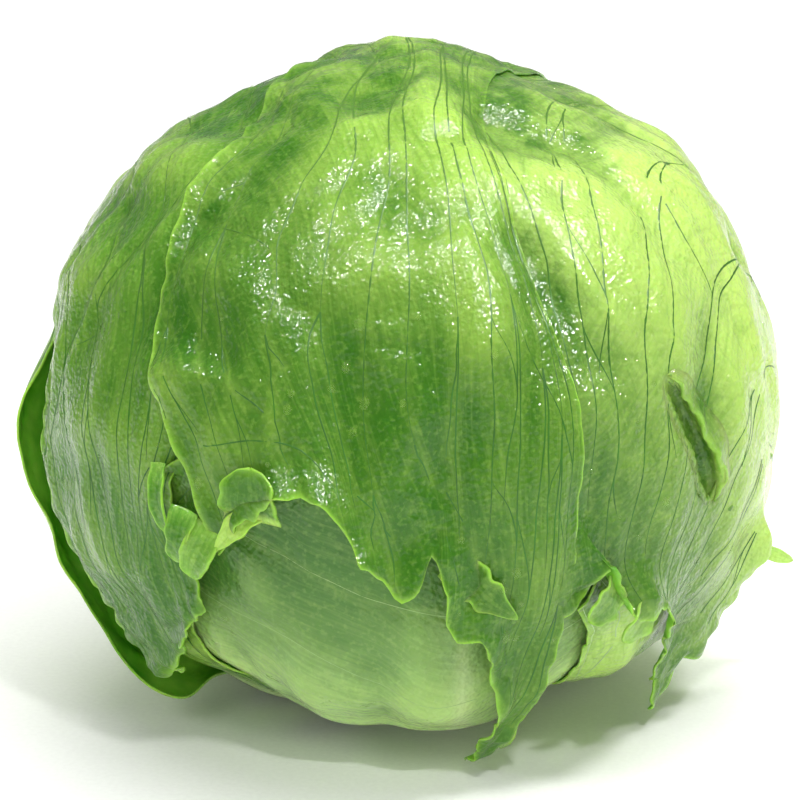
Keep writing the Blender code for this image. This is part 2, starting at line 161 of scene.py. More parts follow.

# Each wrapper leaf as in the imported model, seen from outside with its foot downwards.
# layer: the leaves that lie over it. grid: cells across and along its finer blade. reach: how far in from its margin
# the stand-off is felt, in mm. frill: height in mm and waves along the tip. rib: the midrib's share of the full height
# and its place across the leaf. veins: the number at the foot and the shares of the leaf's length at which they fork;
# without them, fine veins leave the midrib. ruffle: share of the usual ruffles. bared: where nothing covers the leaf,
# and swells: its own swellings, both written as in HEAD_RELIEF.
# tones: how far it leans towards yellow-green, partly its own colour and partly painted light where the light falls
# most, and towards the pale inner green, partly its own blanching and partly painted light from below; the share of
# its length over which its foot pales; from where to where it grows deeper green towards its tip, partly its own
# colour and partly painted shade where the blade faces down or lies under another leaf; and the share of its length
# over which its midrib stays white. net: strength of the fine vein net and its cells across and along. streaks: as
# STREAK_PACE.
# foot: azimuths of its foot. left, tip, right: azimuth, elevation and, where there is one, stand-off in mm of the
# places along its margins; left and right run from the ends of the foot to those of the tip.
LEAVES = {
    "front_leaf": {
        "layer": 4, "grid": (120, 150), "reach": 10, "frill": (0.0, 3), "rib": (1.0, 0.63),
        "bared": (0, -50, 22, 26, 0, 0.9), "swells": ((14, -40, 7, 16, -12, 1.4),),
        "tones": (0.1, 0.7, 0.7, (0.42, 0.66), 0.8), "streaks": (1.2, 0.06, 1.0), "foot": (-7, 12, 31),
        "left": ((-20, -60), (-38, -49), (-52, -36), (-54, -18), (-48, 0)),
        "tip": ((-38, 12), (-25, 22), (-5, 28), (15, 26), (30, 18), (40, 6)),
        "right": ((38, -60), (45, -46), (48, -28), (46, -10)),
    },
    "tucked_leaf": {
        "layer": 3, "grid": (110, 130), "reach": 9, "frill": (1.0, 3), "rib": (0.7, 0.5), "veins": (3, (0.3, 0.6)),
        "tones": (0.1, 0.1, 0.34, (0.6, 1.0), 0.5), "net": (0.16, (22, 18, 1)), "foot": (-66, -52, -38),
        "left": ((-70, -60), (-84, -47), (-98, -30), (-102, -8)),
        "tip": (
            (-92, 14), (-74, 15), (-58, 11), (-46, 5), (-39, 1, 1.5), (-34, 3, 2.0), (-29, -1, 2.0), (-28, -9, 1.5),
        ),
        "right": ((-40, -58), (-43, -44), (-43, -30), (-37, -18)),
    },
    "right_low_leaf": {
        "layer": 2, "grid": (110, 120), "reach": 9, "frill": (0.6, 3), "rib": (0.8, 0.5), "veins": (3, (0.3, 0.6)),
        "tones": (0.4, 0.3, 0.5, (0.75, 1.0), 0.5), "net": (0.12, (22, 18, 1)), "foot": (51, 67, 83),
        "left": ((43, -58, -1.4), (38, -45, -1.3), (36, -34, -0.6), (33, -27, 0.5)),
        "tip": ((28, -20, 1), (31, -14, 1), (36, -11, 0.5), (45, -10), (54, -9), (66, -8), (82, -6)),
        "right": ((94, -56), (104, -38), (104, -20)),
    },
    "left_outer_leaf": {
        "layer": 2, "grid": (100, 140), "reach": 15, "frill": (0.0, 3), "rib": (1.0, 0.5), "veins": (3, (0.3, 0.62)),
        "ruffle": 0.25, "tones": (0.2, 0.0, 0.34, (1.0, 2.0), 0.5), "net": (0.16, (24, 22, 1)),
        "foot": (-107, -92, -77),
        "left": ((-110, -58), (-126, -42), (-138, -20), (-140, 0)),
        "tip": ((-130, 22), (-118, 30), (-104, 30), (-90, 20)),
        "right": (
            (-76, -62), (-68, -53, 2), (-59, -47, 7), (-64, -40, 7.5), (-73, -30, 5.5), (-79, -19, 4.5), (-83, -8, 6),
            (-85, 0, 5.5), (-86, 7, 2.5), (-88, 14),
        ),
    },
    "left_leaf": {
        "layer": 1, "grid": (150, 290), "reach": 9, "frill": (0.4, 3), "rib": (1.0, 0.5), "veins": (3, (0.3, 0.7)),
        "tones": (0.3, 0.0, 0.34, (0.4, 0.9), 0.45), "net": (0.16, (26, 34, 1)), "foot": (-148, -133, -119),
        "left": (
            (-152, -45), (-156, -15), (-158, 15), (-160, 45), (-155, 72), (-50, 77), (-26, 58), (-24, 36), (-29, 16),
            (-36, 0), (-36, -10),
        ),
        "tip": ((-33, -19, 0.5), (-37, -25, 0.5), (-43, -32), (-50, -38, 0.5), (-57, -41, 0.5)),
        "right": (
            (-117, -56), (-113, -34), (-108, -10), (-100, 9), (-88, 17), (-79, 10), (-75, 0, 0.6), (-72, -10, 1),
            (-69, -20, 1.2), (-64, -31, 1.2),
        ),
    },
    "right_leaf": {
        "layer": 1, "grid": (170, 270), "reach": 8, "frill": (0.5, 5), "rib": (1.0, 0.5), "veins": (4, (0.25, 0.62)),
        "swells": ((62, 10, 26, 40, 0, 0.8),), "tones": (0.85, 0.25, 0.34, (0.6, 0.95), 0.45),
        "net": (0.14, (30, 34, 1)), "foot": (104, 121, 139),
        "left": (
            (102, -58), (99, -44), (94, -34), (87, -27), (81, -24, 1), (77, -20, 4.5), (75, -26, 3.5), (72, -31, 3.5),
            (68, -36, 5), (63, -38, 4),
        ),
        "tip": (
            (59, -45, 8), (54, -37, 2.5), (50, -30, 1), (47, -24, 1.5), (44, -21, 2), (40, -19, 2.5), (37, -21, 3),
            (34, -17, 2.5), (31, -12, 2), (28.5, -16, 1.5), (26, -18, 1), (23, -21),
        ),
        "right": (
            (148, -45), (153, -15), (154, 15), (152, 45), (140, 72), (-20, 82), (0, 64), (6, 46), (11, 30), (14, 15),
            (15, 0), (17, -12),
        ),
    },
    "crown_leaf": {
        "layer": 0, "grid": (150, 310), "reach": 9, "frill": (0.5, 5), "rib": (1.0, 0.5),
        "veins": (3, (0.25, 0.55, 0.85)), "tones": (0.6, 0.0, 0.3, (0.58, 0.9), 0.4), "net": (0.16, (30, 34, 1)),
        "foot": (163, 180, 197),
        "left": (
            (151, -45), (144, -15), (142, 15), (139, 42), (122, 64), (70, 74), (34, 67), (23, 55), (21, 43), (23, 28),
            (26, 12), (26, -2), (25, -13), (24, -25, 1), (22, -36, 3), (18, -44, 5),
        ),
        "tip": (
            (13, -49, 6), (14, -41, 5), (15, -34, 3), (13, -27, 2), (11.5, -21, 2), (7, -20, 1.5), (5.5, -14, 1),
            (4, -8), (2, -12, 1), (-1, -14, 1), (-5, -9, 1), (-9, -2, 1), (-13, 1, 1), (-18, 0, 1), (-22, -3, 1),
            (-27, -9, 0.5),
        ),
        "right": (
            (208, -45), (214, -15), (216, 15), (217, 42), (221, 64), (255, 75), (294, 66), (311, 54), (312, 42),
            (315, 28), (318, 17), (323, 9), (328, 1),
        ),
    },
}

# What the blades' materials read: masks at every point, and maps of shares and of millimetres along the veins.
# Of these masks, the hollow one lays painted shade and the crest one painted light.
MASKS = ("edge", "vein", "rib", "hollow_shade", "crest_light", "foot", "tip")
MAPS = ("blade", "grain")
LOWEST = 0.9 * MM

# The tear in the right leaf: places from its top to its bottom, and what its torn strip does from left to right
# across it, as (offset, height) in millimetres: down into the gap, back under the lip and over its curled rim.
TEAR = ((42.5, 14), (46, 9), (49.5, 3), (52.5, -4), (53, -7))
TEAR_PROFILE = (
    (-4.2, 0.05), (-3.6, 0.02), (-3.1, -0.3), (-2.7, -1.2), (-2.2, -2.1), (-1.2, -2.5), (0.2, -2.6), (1.4, -2.4),
    (2.2, -1.7), (2.1, -0.8), (1.6, -0.1), (1.1, 0.7), (1.1, 1.35), (1.7, 1.5), (2.6, 1.1), (3.7, 0.5), (4.8, 0.15),
    (5.6, 0.04),
)
TEAR_LIP = (11, 13)
TEAR_CUT = 3.3 * MM
TEAR_STEPS = 60

# The torn strip is this much wider than its profile. Part of its lip is a flap: (place, half width) as shares of the
# tear, and how far it hangs over and stands up, in millimetres; the lip is ragged by the other two.
TEAR_SPREAD = 1.25
TEAR_FLAP = (0.72, 0.13)
TEAR_FLAP_OVER, TEAR_FLAP_UP = 2.6, 1.3
TEAR_RAGGED_OVER, TEAR_RAGGED_UP = 0.45, 0.25

# Small rags of margin that stick out or fold back: leaf, foot of the rag and its end (both as azimuth, elevation,
# stand-off in mm), width in millimetres, bluntness from 1.5 (a point) to 6 (a round lobe), and how much painted shade
# of the deeper green it carries; the less of it, the more painted light it gets.
RAGS = (
    ("right_leaf", (79, -21, 2), (82, -21.5, 9), 3.2, 1.6, 0.0),
    ("crown_leaf", (20.5, -39, 0.2), (22.5, -50.5, 6), 3.2, 2.0, 0.2),
    ("crown_leaf", (-21.5, -3.5, 1.0), (-21, 4.5, 3.2), 11.5, 5.0, 1.7),
    ("crown_leaf", (-21, -1, 0.2), (-27.5, -8.5, 2.4), 5.5, 1.6, 0.1),
    ("crown_leaf", (7, -10, -3.0), (16.5, -18, 1.6), 8.0, 2.0, 1.5),
    ("tucked_leaf", (-32, -3, 0.6), (-34, -11, 3.6), 5.5, 3.0, 1.0),
    ("tucked_leaf", (-28, -5, 0.6), (-31.5, -12.5, 3.6), 6.5, 5.0, 0.6),
    ("tucked_leaf", (-36.5, 3, 0.4), (-35.5, -7, 2.4), 3.4, 3.0, 0.8),
    ("right_low_leaf", (33.5, -15, 0.6), (28, -19.5, 3.6), 7.0, 5.0, 0.8),
    ("right_low_leaf", (40, -18, 0.4), (35, -24, 3.4), 6.5, 5.0, 0.5),
)

# Veins: width in millimetres by how many forks lie behind, with the cross links last.
VEIN_WIDTHS = (0.9, 0.66, 0.56, 0.48, 0.4, 0.24)
VEIN_LIFT = 0.09 * MM
NEAREST_VEINS = 2.6 * MM
VEIN_STEP = 1.5 * MM
SHARPEST_TURN = 0.2
LINKS_PER_VEIN = 1.1
SPURS_PER_VEIN = 0.7

# How far a vein sways and bends, as shares of the room beside it, and how much it narrows on its way and at its end.
VEIN_SWAY = 0.11
VEIN_BENDS = 0.05
VEIN_NARROWS = 0.35
VEIN_ENDS = 0.45
FINE_VEINS_BESIDE_RIB = 9

# Drops that the photo shows, as places on the head with their widths in millimetres. The others are scattered. All
# lie where the skin faces outwards enough.
SEEN_DROPS = (
    (-7, 25, 2.4), (-9, 19, 1.9), (-11, 16, 1.7), (-6, 14, 2.2), (12, 27, 1.5), (2, 26, 1.3), (-31, 44, 1.4),
    (-64, -7, 3.0), (-30, 1, 2.0), (8, -6, 1.4), (16, -11, 1.9), (14, -13, 1.3), (17, -16, 1.2), (15, -21, 2.2),
    (17, -22, 1.7), (41, -4, 1.7), (45, -9, 1.2), (37, -9, 1.1), (54, -22, 1.4), (62, 24, 1.2), (70, 14, 1.5),
    (-44, 20, 1.1), (-38, 5, 1.0), (1, 34, 1.2), (-16, 36, 1.2), (24, 20, 1.2), (31, 34, 1.2), (-19, 5, 1.1),
)
DROP_COUNT = 110
DROP_SEED = 12
DROP_WIDEST = 1.9
DROP_HEIGHT = 0.38
DROP_STEEPEST = 0.6

# Pattern of a blade's tissue: size of the blobs in millimetres, detail and roughness of each noise.
TISSUE_NOISES = {
    "cloud": (24, 4.0, 0.55),
    "patch": (9, 4.0, 0.62),
    "mottle": (5, 5.0, 0.6),
    # Speckle: light specks painted into the colour as the wet skin's sparkle.
    "painted_sparkle": (1.1, 2.0, 0.5),
    "fine": (2.2, 3.0, 0.5),
}

# Streaks across and along the grain of a leaf, in streaks per millimetre.
STREAK_PACE = (0.75, 0.05, 1.0)

# Light that watery tissue lets through it.
SOFT_TISSUE = {
    "Subsurface Weight": 0.4,
    "Subsurface Radius": (0.5, 1.0, 0.15),
    "Subsurface Scale": 2.0 * MM,
}
WATER_OVER_LEAF = "#a5cf60"

# Leaves whose veins are paler than the blade, and the heights between which all veins pale with the blade: this
# paling is painted light, lighter higher up the head.
PALE_VEINED = ("front_leaf", "right_low_leaf")
VEINS_PALE = (80 * MM, 140 * MM)

# Camera as the photo was taken.
CAMERA_TARGET = (-0.001, 0.0, 0.0624)
CAMERA_ELEVATION = 15.0
CAMERA_DISTANCE = 0.65
CAMERA_LENS = 138.2
SENSOR = 36.0

# Soft room light, and lights as (name, place, aim, width in metres, watts, and what they light: all of it, the
# ground colours alone, or the wet shine alone).
ROOM_LIGHT = 0.26
LIGHTS = (
    ("window", (0.36, -0.12, 0.72), (0.0, 0.0, 0.06), 0.14, 2.8, "all"),
    ("lamp", (0.22, -0.55, 0.75), (0.0, 0.0, 0.06), 0.06, 2.2, "all"),
    ("right_glint", (0.42, -0.35, 0.55), (0.0, 0.0, 0.06), 0.1, 5.0, "shine"),
    ("left_glint", (-0.34, -0.4, 0.78), (0.0, 0.0, 0.06), 0.1, 5.0, "shine"),
    ("top_glint", (0.14, -0.2, 0.85), (0.0, 0.0, 0.06), 0.1, 5.0, "shine"),
    ("low_card", (0.0, -1.0, 0.14), (0.0, 0.0, 0.03), 0.5, 3.0, "ground"),
    ("left_card", (-0.7, -0.5, 0.7), (0.0, 0.0, 0.06), 0.5, 2.4, "ground"),
    ("softbox", (0.0, 0.1, 1.7), (0.0, 0.1, 0.0), 1.5, 24.0, "ground"),
    ("back_glow", (0.0, 1.7, 0.9), (0.0, 1.5, 0.0), 1.2, 9.0, "ground"),
)


def direction(azimuth, elevation):
    """Unit vector from the ball's centre to a place given in degrees."""
    a, e = np.radians(azimuth), np.radians(elevation)
    return np.stack([np.sin(a) * np.cos(e), -np.cos(a) * np.cos(e), np.sin(e)], axis=-1)


def smooth_step(x, low, high):
    """0 below low, 1 above high, and a smooth rise between them."""
    t = np.clip((x - low) / (high - low), 0, 1)
    return t * t * (3 - 2 * t)


def unit(vectors):
    """The vectors with a length of 1."""
    return vectors / np.maximum(np.linalg.norm(vectors, axis=-1, keepdims=True), 1e-12)


def falloff(distance, reach, power=2):
    """1 at no distance, fading to nothing past the reach, the more suddenly the higher the power."""
    return np.exp(-((distance / reach) ** power))


def paired(a, b):
    """A grid of pairs from two sets of values that are given along its columns and its rows."""
    return np.stack(np.broadcast_arrays(a, b), axis=-1)


def bump(d, azimuth, elevation, half_width, half_length, turn, high, power=1):
    """A smooth round rise at one place on the ball, flatter on top with a higher power."""
    middle, east = direction(azimuth, elevation), direction(azimuth + 90, 0)
    north = np.cross(east, middle)
    t = math.radians(turn)
    x, y = d @ east, d @ north
    across = (x * math.cos(t) + y * math.sin(t)) / math.radians(half_width)
    along = (y * math.cos(t) - x * math.sin(t)) / math.radians(half_length)
    return np.where(d @ middle > 0, high * np.exp(-((across**2 + along**2) ** power)), 0)


def relief(d, marks):
    """Height at directions d of the swellings and hollows in marks."""
    return sum((bump(d, *mark) * MM for mark in marks), np.zeros(d.shape[:-1]))


def waves(places, length, seed, count=9):
    """Smooth seeded unevenness, mostly within -1 to 1, with about that wavelength in millimetres."""
    rng = np.random.default_rng(seed)
    heading = unit(rng.normal(size=(count, places.shape[-1])))
    pace = 2 * math.pi / (length * rng.uniform(0.75, 1.4, count))
    shift = rng.uniform(0, 2 * math.pi, count)
    return np.sin(places @ heading.T * pace + shift).sum(axis=-1) / math.sqrt(count)


def ball_radius(d):
    """Distance from the centre to the ball's skin: an ellipsoid, rounded off above the resting surface."""
    rise = np.clip(d[..., 2], -1, 1)
    level = np.sqrt(1 - rise**2)
    tall = np.where(rise > 0, CROWN_RADIUS, HEAD_RADIUS)
    round_part = 1 / np.sqrt((level / HEAD_RADIUS) ** 2 + (rise / tall) ** 2)
    flat_part = (HEAD_CENTRE[2] - UNDERSIDE_HEIGHT) / np.maximum(-rise, 1e-3)
    n = UNDERSIDE_SHARPNESS
    return (round_part**-n + flat_part**-n) ** (-1 / n)


def blade_unevenness(d):
    """The crumpling and the small folds that all layers share."""
    ball = d * HEAD_RADIUS / MM
    crumple = sum(high * waves(ball * (1, 1, pace), length, seed) for length, seed, pace, high in CRUMPLES)
    return smooth_step(d[..., 2], CALM_FROM, CALM_TO) * crumple * MM + relief(d, SMALL_RELIEF)


def smooth_path(points, shares):
    """Rows of (x, y, z, stand-off) at the given shares of a smooth path through a margin's points.

    A point is (azimuth, elevation) with its stand-off in millimetres after them where there is one.
    """
    p = np.array([[*direction(a, e), sum(lift) * MM] for a, e, *lift in points])
    p = np.vstack([2 * p[0] - p[1], p, 2 * p[-1] - p[-2]])
    t = np.linspace(0, 1, CURVE_STEPS, endpoint=False)[:, None]
    runs = [
        b + (c - a) * t / 2 + (2 * a - 5 * b + 4 * c - d) * t**2 / 2 + (3 * b - a - 3 * c + d) * t**3 / 2
        for a, b, c, d in zip(p, p[1:], p[2:], p[3:])
    ]
    dense = np.vstack(runs + [p[-2:-1]])
    steps = np.linalg.norm(np.diff(dense[:, :3], axis=0), axis=1)
    gone = np.concatenate([[0], np.cumsum(steps)]) / steps.sum()
    return np.column_stack([np.interp(shares, gone, column) for column in dense.T])


def reach_from(points, axis):
    """Distance along the grid, from its start and from its end, of every point in a grid of positions."""
    steps = np.linalg.norm(np.diff(points, axis=axis), axis=-1)
    pad = [(0, 0), (0, 0)]
    pad[axis] = (1, 0)
    gone = np.cumsum(np.pad(steps, pad), axis=axis)
    return gone, gone.take([-1], axis=axis) - gone


def read_grid(values, u, v, at_u, at_v):
    """Values of a grid over v (rows) and u (columns), read between its points."""
    column = np.interp(at_u, u, np.arange(len(u)))
    row = np.interp(at_v, v, np.arange(len(v)))
    c, r = np.minimum(column.astype(int), len(u) - 2), np.minimum(row.astype(int), len(v) - 2)
    x, y = (column - c)[:, None], (row - r)[:, None]
    if values.ndim == 2:
        x, y = x[:, 0], y[:, 0]
    near = (1 - x) * values[r, c] + x * values[r, c + 1]
    far = (1 - x) * values[r + 1, c] + x * values[r + 1, c + 1]
    return (1 - y) * near + y * far


def forked_veins(first, forks, seed):
    """Veins from the foot that fork on their way to the margin, as (u, v, rank, gap), with links and spurs."""
    rng = np.random.default_rng(seed)
    gap = 1 / first
    starts = [((i + 0.5) * gap, 0.0, (i + 0.5) * gap) for i in range(first)]
    veins = []
    ends = [*forks, 1.0]
    s = np.linspace(0, 1, 48)
    for rank, end in enumerate(ends):
        following = []
        for start_u, start_v, aim in starts:
            last = rank == len(ends) - 1
            stop = rng.uniform(0.9, 1.0) if last else max(end + rng.uniform(-0.1, 0.1), start_v + 0.05)
            sway = sum(rng.normal() / k * np.sin(math.pi * k * s) for k in (1, 2, 3, 5)) * gap * VEIN_SWAY
            bends = np.interp(s, np.linspace(0, 1, 10), [0, *rng.normal(size=8), 0]) * gap * VEIN_BENDS
            u = start_u + (aim - start_u) * (1 - (1 - s) ** 2) + sway + bends
            veins.append((np.clip(u, 0.006, 0.994), start_v + (stop - start_v) * s, rank, gap))
            side = rng.choice((-1, 1))
            following.append((u[-1], stop, u[-1] + side * gap * rng.uniform(0.24, 0.36)))
            following.append((u[-1], stop, u[-1] - side * gap * rng.uniform(0.16, 0.28)))
        starts, gap = following, gap / 2
    return veins + vein_links(veins, len(ends), rng) + vein_spurs(veins, gap, len(ends) + 1, rng)


def vein_links(veins, rank, rng):
    """Thin slanting links between neighbouring veins, which close the net of their cells."""
    links = []
    s = np.linspace(0, 1, 12)
    for _ in range(int(len(veins) * LINKS_PER_VEIN)):
        here = rng.uniform(0.25, 0.96)
        there = np.clip(here + rng.choice((-1, 1)) * rng.uniform(0.012, 0.05), 0, 0.99)
        crossed = sorted(
            (np.interp(here, v, u), np.interp(there, v, u))
            for u, v, *_ in veins
            if v[0] <= min(here, there) and v[-1] >= max(here, there)
        )
        if len(crossed) < 2:
            continue
        i = rng.integers(len(crossed) - 1)
        a, b = crossed[i][0], crossed[i + 1][1]
        if rng.random() < 0.5:
            a, b = crossed[i + 1][0], crossed[i][1]
        sag = rng.normal() * 0.004 * np.sin(math.pi * s)
        links.append((a + (b - a) * smooth_step(s, 0, 1), here + (there - here) * s + sag, rank, abs(b - a)))
    return links


def vein_spurs(veins, gap, rank, rng):
    """Short thin branches that leave a vein at a slant and fade out."""
    spurs = []
    s = np.linspace(0, 1, 12)
    for _ in range(int(len(veins) * SPURS_PER_VEIN)):
        u, v, *_ = veins[rng.integers(len(veins))]
        i = rng.integers(6, len(v) - 2)
        reach = rng.choice((-1, 1)) * gap * rng.uniform(0.5, 1.1)
        run = rng.uniform(0.02, 0.06)
        spurs.append((np.clip(u[i] + reach * s**1.4, 0.004, 0.996), np.minimum(v[i] + run * s, 0.99), rank, abs(reach)))
    return spurs


def feathered_veins(count, place, seed):
    """A straight midrib with fine veins that leave it on both sides and curve towards the margin."""
    rng = np.random.default_rng(seed)
    s = np.linspace(0, 1, 48)
    veins = []
    for side in (-1, 1):
        for start in np.linspace(0.04, 0.82, count):
            rise = rng.uniform(0.04, 0.1) + 0.1 * start
            room = place if side < 0 else 1 - place
            u = place + side * room * (0.03 + 0.95 * s * rng.uniform(0.6, 1.0))
            v = start + rng.uniform(-0.012, 0.012) + rise * s**1.25 + 0.004 * np.sin(9 * s + rng.uniform(0, 6))
            veins.append((u, np.clip(v, 0, 0.99), 5, 1.0))
    return veins


def leaf_veins(name):
    """The veins of a leaf as (u, v, rank, gap)."""
    seed = 40 + list(LEAVES).index(name)
    leaf = LEAVES[name]
    if "veins" in leaf:
        return forked_veins(*leaf["veins"], seed)
    return feathered_veins(FINE_VEINS_BESIDE_RIB, leaf["rib"][1], seed)


def leaf_margins(leaf, u, v):
    """Smooth paths along a leaf's foot, left, tip and right, which meet at its corners."""
    foot = list(zip(leaf["foot"], FOOT_ELEVATIONS))
    tip = leaf["tip"]
    left, right = (foot[0], *leaf["left"], tip[0]), (foot[-1], *leaf["right"], tip[-1])
    return smooth_path(foot, u), smooth_path(left, v), smooth_path(tip, u), smooth_path(right, v)


@functools.lru_cache(maxsize=None)
def leaf_blade(name):
    """Outer face of a leaf as a grid: u, v, positions and, by name, the masks that its material reads."""
    leaf = LEAVES[name]
    columns, rows = leaf["grid"]
    even = np.linspace(0, 1, columns + 1)
    u = even - CROWDED_SIDES * np.sin(2 * math.pi * even) / (2 * math.pi)
    v = 1 - (1 - np.linspace(0, 1, rows + 1)) ** CROWDED_TIP
    foot, left, tip, right = leaf_margins(leaf, u, v)
    across, along, rows_up = u[:, None], v[:, None], v[:, None, None]
    foot_bow = foot - (1 - across) * foot[0] - across * foot[-1]
    tip_bow = tip - (1 - across) * tip[0] - across * tip[-1]
    sides = (1 - across) * left[:, None] + across * right[:, None]
    d = unit((sides + (1 - rows_up) ** 2 * foot_bow + rows_up**2 * tip_bow)[..., :3])

    elevation = np.degrees(np.arcsin(np.clip(d[..., 2], -1, 1)))
    depth = leaf["layer"] * LAYER * smooth_step(elevation, LAYERS_PART_FROM, LAYERS_PART_TO)
    if "bared" in leaf:
        depth = depth * (1 - bump(d, *leaf["bared"], power=2))
    # This shape also sets where painted shade darkens the hollows and painted light lightens the crests.
    shape = relief(d, HEAD_RELIEF) + blade_unevenness(d)
    skin = (ball_radius(d) - depth + shape + relief(d, leaf.get("swells", ())))[..., None] * d
    from_left, to_right = reach_from(skin, 1)
    from_foot, to_tip = reach_from(skin, 0)
    side_distance = np.minimum(from_left, to_right)
    edge_distance = np.minimum(side_distance, to_tip)
    ball = d * HEAD_RADIUS / MM

    reach = leaf["reach"] * MM
    side_lift = left[:, 3:] * falloff(from_left, reach) + right[:, 3:] * falloff(to_right, reach)
    lift = side_lift + (tip[:, 3] - side_lift[-1]) * falloff(to_tip, reach)

    seed = 10 * list(LEAVES).index(name)
    high, count = leaf["frill"]
    swing = np.sin(2 * math.pi * count * u) ** 2
    frill = high * MM * swing * falloff(to_tip, FRILL_REACH)
    free = 0.2 + 0.8 * smooth_step(along, 0.55, 0.8)
    length, high, inwards = TIP_RUFFLE
    ruffle_tip = np.abs(waves(ball, length, seed + 1)) * high * falloff(to_tip, inwards * MM)
    length, high, inwards = EDGE_RUFFLE
    ruffle_edge = np.abs(waves(ball, length, seed + 2)) * high * free * falloff(edge_distance, inwards * MM)
    length, high, inwards = EDGE_CRINKLE
    crinkle = waves(ball, length, seed + 3) * high * free * falloff(edge_distance, inwards * MM)
    frill = frill + (ruffle_tip + ruffle_edge + crinkle) * leaf.get("ruffle", 1.0) * MM
    hug = HUG * falloff(edge_distance, HUG_REACH) * (1 - np.clip(lift / (0.8 * MM), 0, 1))
    hug = hug * smooth_step(along, 0.2, 0.35)

    width = RIB_WIDTH_AT_FOOT + (RIB_WIDTH_AT_TIP - RIB_WIDTH_AT_FOOT) * along
    rib_share, rib_place = leaf["rib"]
    middle = rib_place * (from_left + to_right)
    rib_shape = falloff(from_left - middle, width)
    rib = RIB_HEIGHT * rib_share * (1 - smooth_step(along, 0.05, 0.5)) * rib_shape

    veins = leaf_veins(name)
    tree = KDTree(sum(len(vein[0]) for vein in veins))
    ranks = []
    for vein_u, vein_v, rank, _ in veins:
        for place in read_grid(skin, u, v, vein_u, vein_v):
            tree.insert(place, len(ranks))
            ranks.append(rank)
    tree.balance()
    found = [tree.find(place)[1:] for place in skin.reshape(-1, 3)]
    vein_distance = np.array([distance for _, distance in found]).reshape(depth.shape)
    vein_rank = np.array(ranks)[[index for index, _ in found]].reshape(depth.shape)
    pucker = PUCKER * (1 - falloff(vein_distance, PUCKER_REACH)) * smooth_step(along, 0.1, 0.4)
    side_rib = SIDE_RIB_HEIGHT * falloff(vein_distance, SIDE_RIB_WIDTH) * (vein_rank < 2)
    side_rib = side_rib * (1 - smooth_step(along, 0.05, 0.4))

    rise = lift + frill - hug + rib + pucker + side_rib
    points = skin + rise[..., None] * d

    # Ragged edges: the outermost strip of the blade is drawn in and out along itself.
    ragged = sum(deep * waves(ball, length, seed + 4 + i) for i, (length, deep) in enumerate(TEETH))
    ragged = ragged * smooth_step(np.sin(math.pi * u), 0, 0.1)
    points = points + unit(np.gradient(points, axis=0)) * (ragged * MM * falloff(to_tip, TEETH_REACH))[..., None]

    # Feet: drawn in to the stem and kept off the surface that the head rests on.
    close = 1 - smooth_step(along, 0, FOOT_REACH)
    points[..., :2] -= unit(points[..., :2]) * (FOOT_GAP * close)[..., None]
    points = points + HEAD_CENTRE
    points[..., 2] = np.maximum(points[..., 2], LOWEST)

    *_, pale_to, deepens, rib_to = leaf["tones"]
    core = falloff(from_left - middle, 0.45 * width) * (1 - smooth_step(along, 0.4 * rib_to, rib_to))
    flanks = 0.35 * rib_shape * (1 - smooth_step(along, 0.2, rib_to))
    whole = np.ones_like(depth)
    masks = {
        # Paler edge: partly the margin's own colour and partly a painted highlight along the rim.
        "edge": falloff(edge_distance, EDGE_BAND, 1.5) * (0.25 + 0.75 * smooth_step(along, 0.62, 0.85)),
        "vein": falloff(vein_distance, VEIN_BAND) * smooth_step(along, 0.1, 0.3),
        "rib": np.clip(0.9 * core + flanks + side_rib / MM * 0.5, 0, 1),
        # Painted shade: the colour darkens in the hollows of the relief.
        "hollow_shade": np.clip(-shape / HOLLOW_SHADE_DEPTH, 0, 1),
        # Painted light: the colour lightens on the crests of the relief.
        "crest_light": np.clip(shape / CREST_LIGHT_HEIGHT, 0, 1),
        "foot": (1 - smooth_step(along, 0.02, pale_to)) * whole,
        # Deeper green towards the tip: partly the leaf's own colour and partly painted shade, where the blade faces
        # down or lies under the leaf over it.
        "tip": smooth_step(along, *deepens) * whole,
    }
    if "veins" in leaf:
        grain = np.stack([from_left / MM, from_foot / MM], axis=-1)
    else:
        side = (from_left - middle) / MM
        grain = np.stack([from_foot / MM - 0.45 * np.abs(side), np.abs(side)], axis=-1)
    return u, v, points, masks, (paired(u, along), grain)


def tear_path():
    """Shares of the tear from top to bottom, with the directions along it and the ways to its right."""
    line = direction(*np.array(TEAR, dtype=float).T)
    s = np.linspace(0, 1, TEAR_STEPS)
    knots = np.linspace(0, 1, len(line))
    path = unit(np.column_stack([np.interp(s, knots, column) for column in line.T]))
    return s, path, np.cross(path, unit(np.gradient(path, axis=0)))


def torn_away(points):
    """Which points of the right leaf's grid lie in the gap of its tear."""
    d = unit(points - HEAD_CENTRE)
    s, path, right = tear_path()
    offsets = d[..., None, :] - path
    nearest = np.linalg.norm(offsets, axis=-1).argmin(axis=-1)
    side = ((d - path[nearest]) * right[nearest]).sum(axis=-1) * HEAD_RADIUS
    inside = (nearest > 1) & (nearest < len(path) - 2)
    return inside & (np.abs(side) < TEAR_CUT * np.sin(math.pi * s[nearest]) ** 0.5)


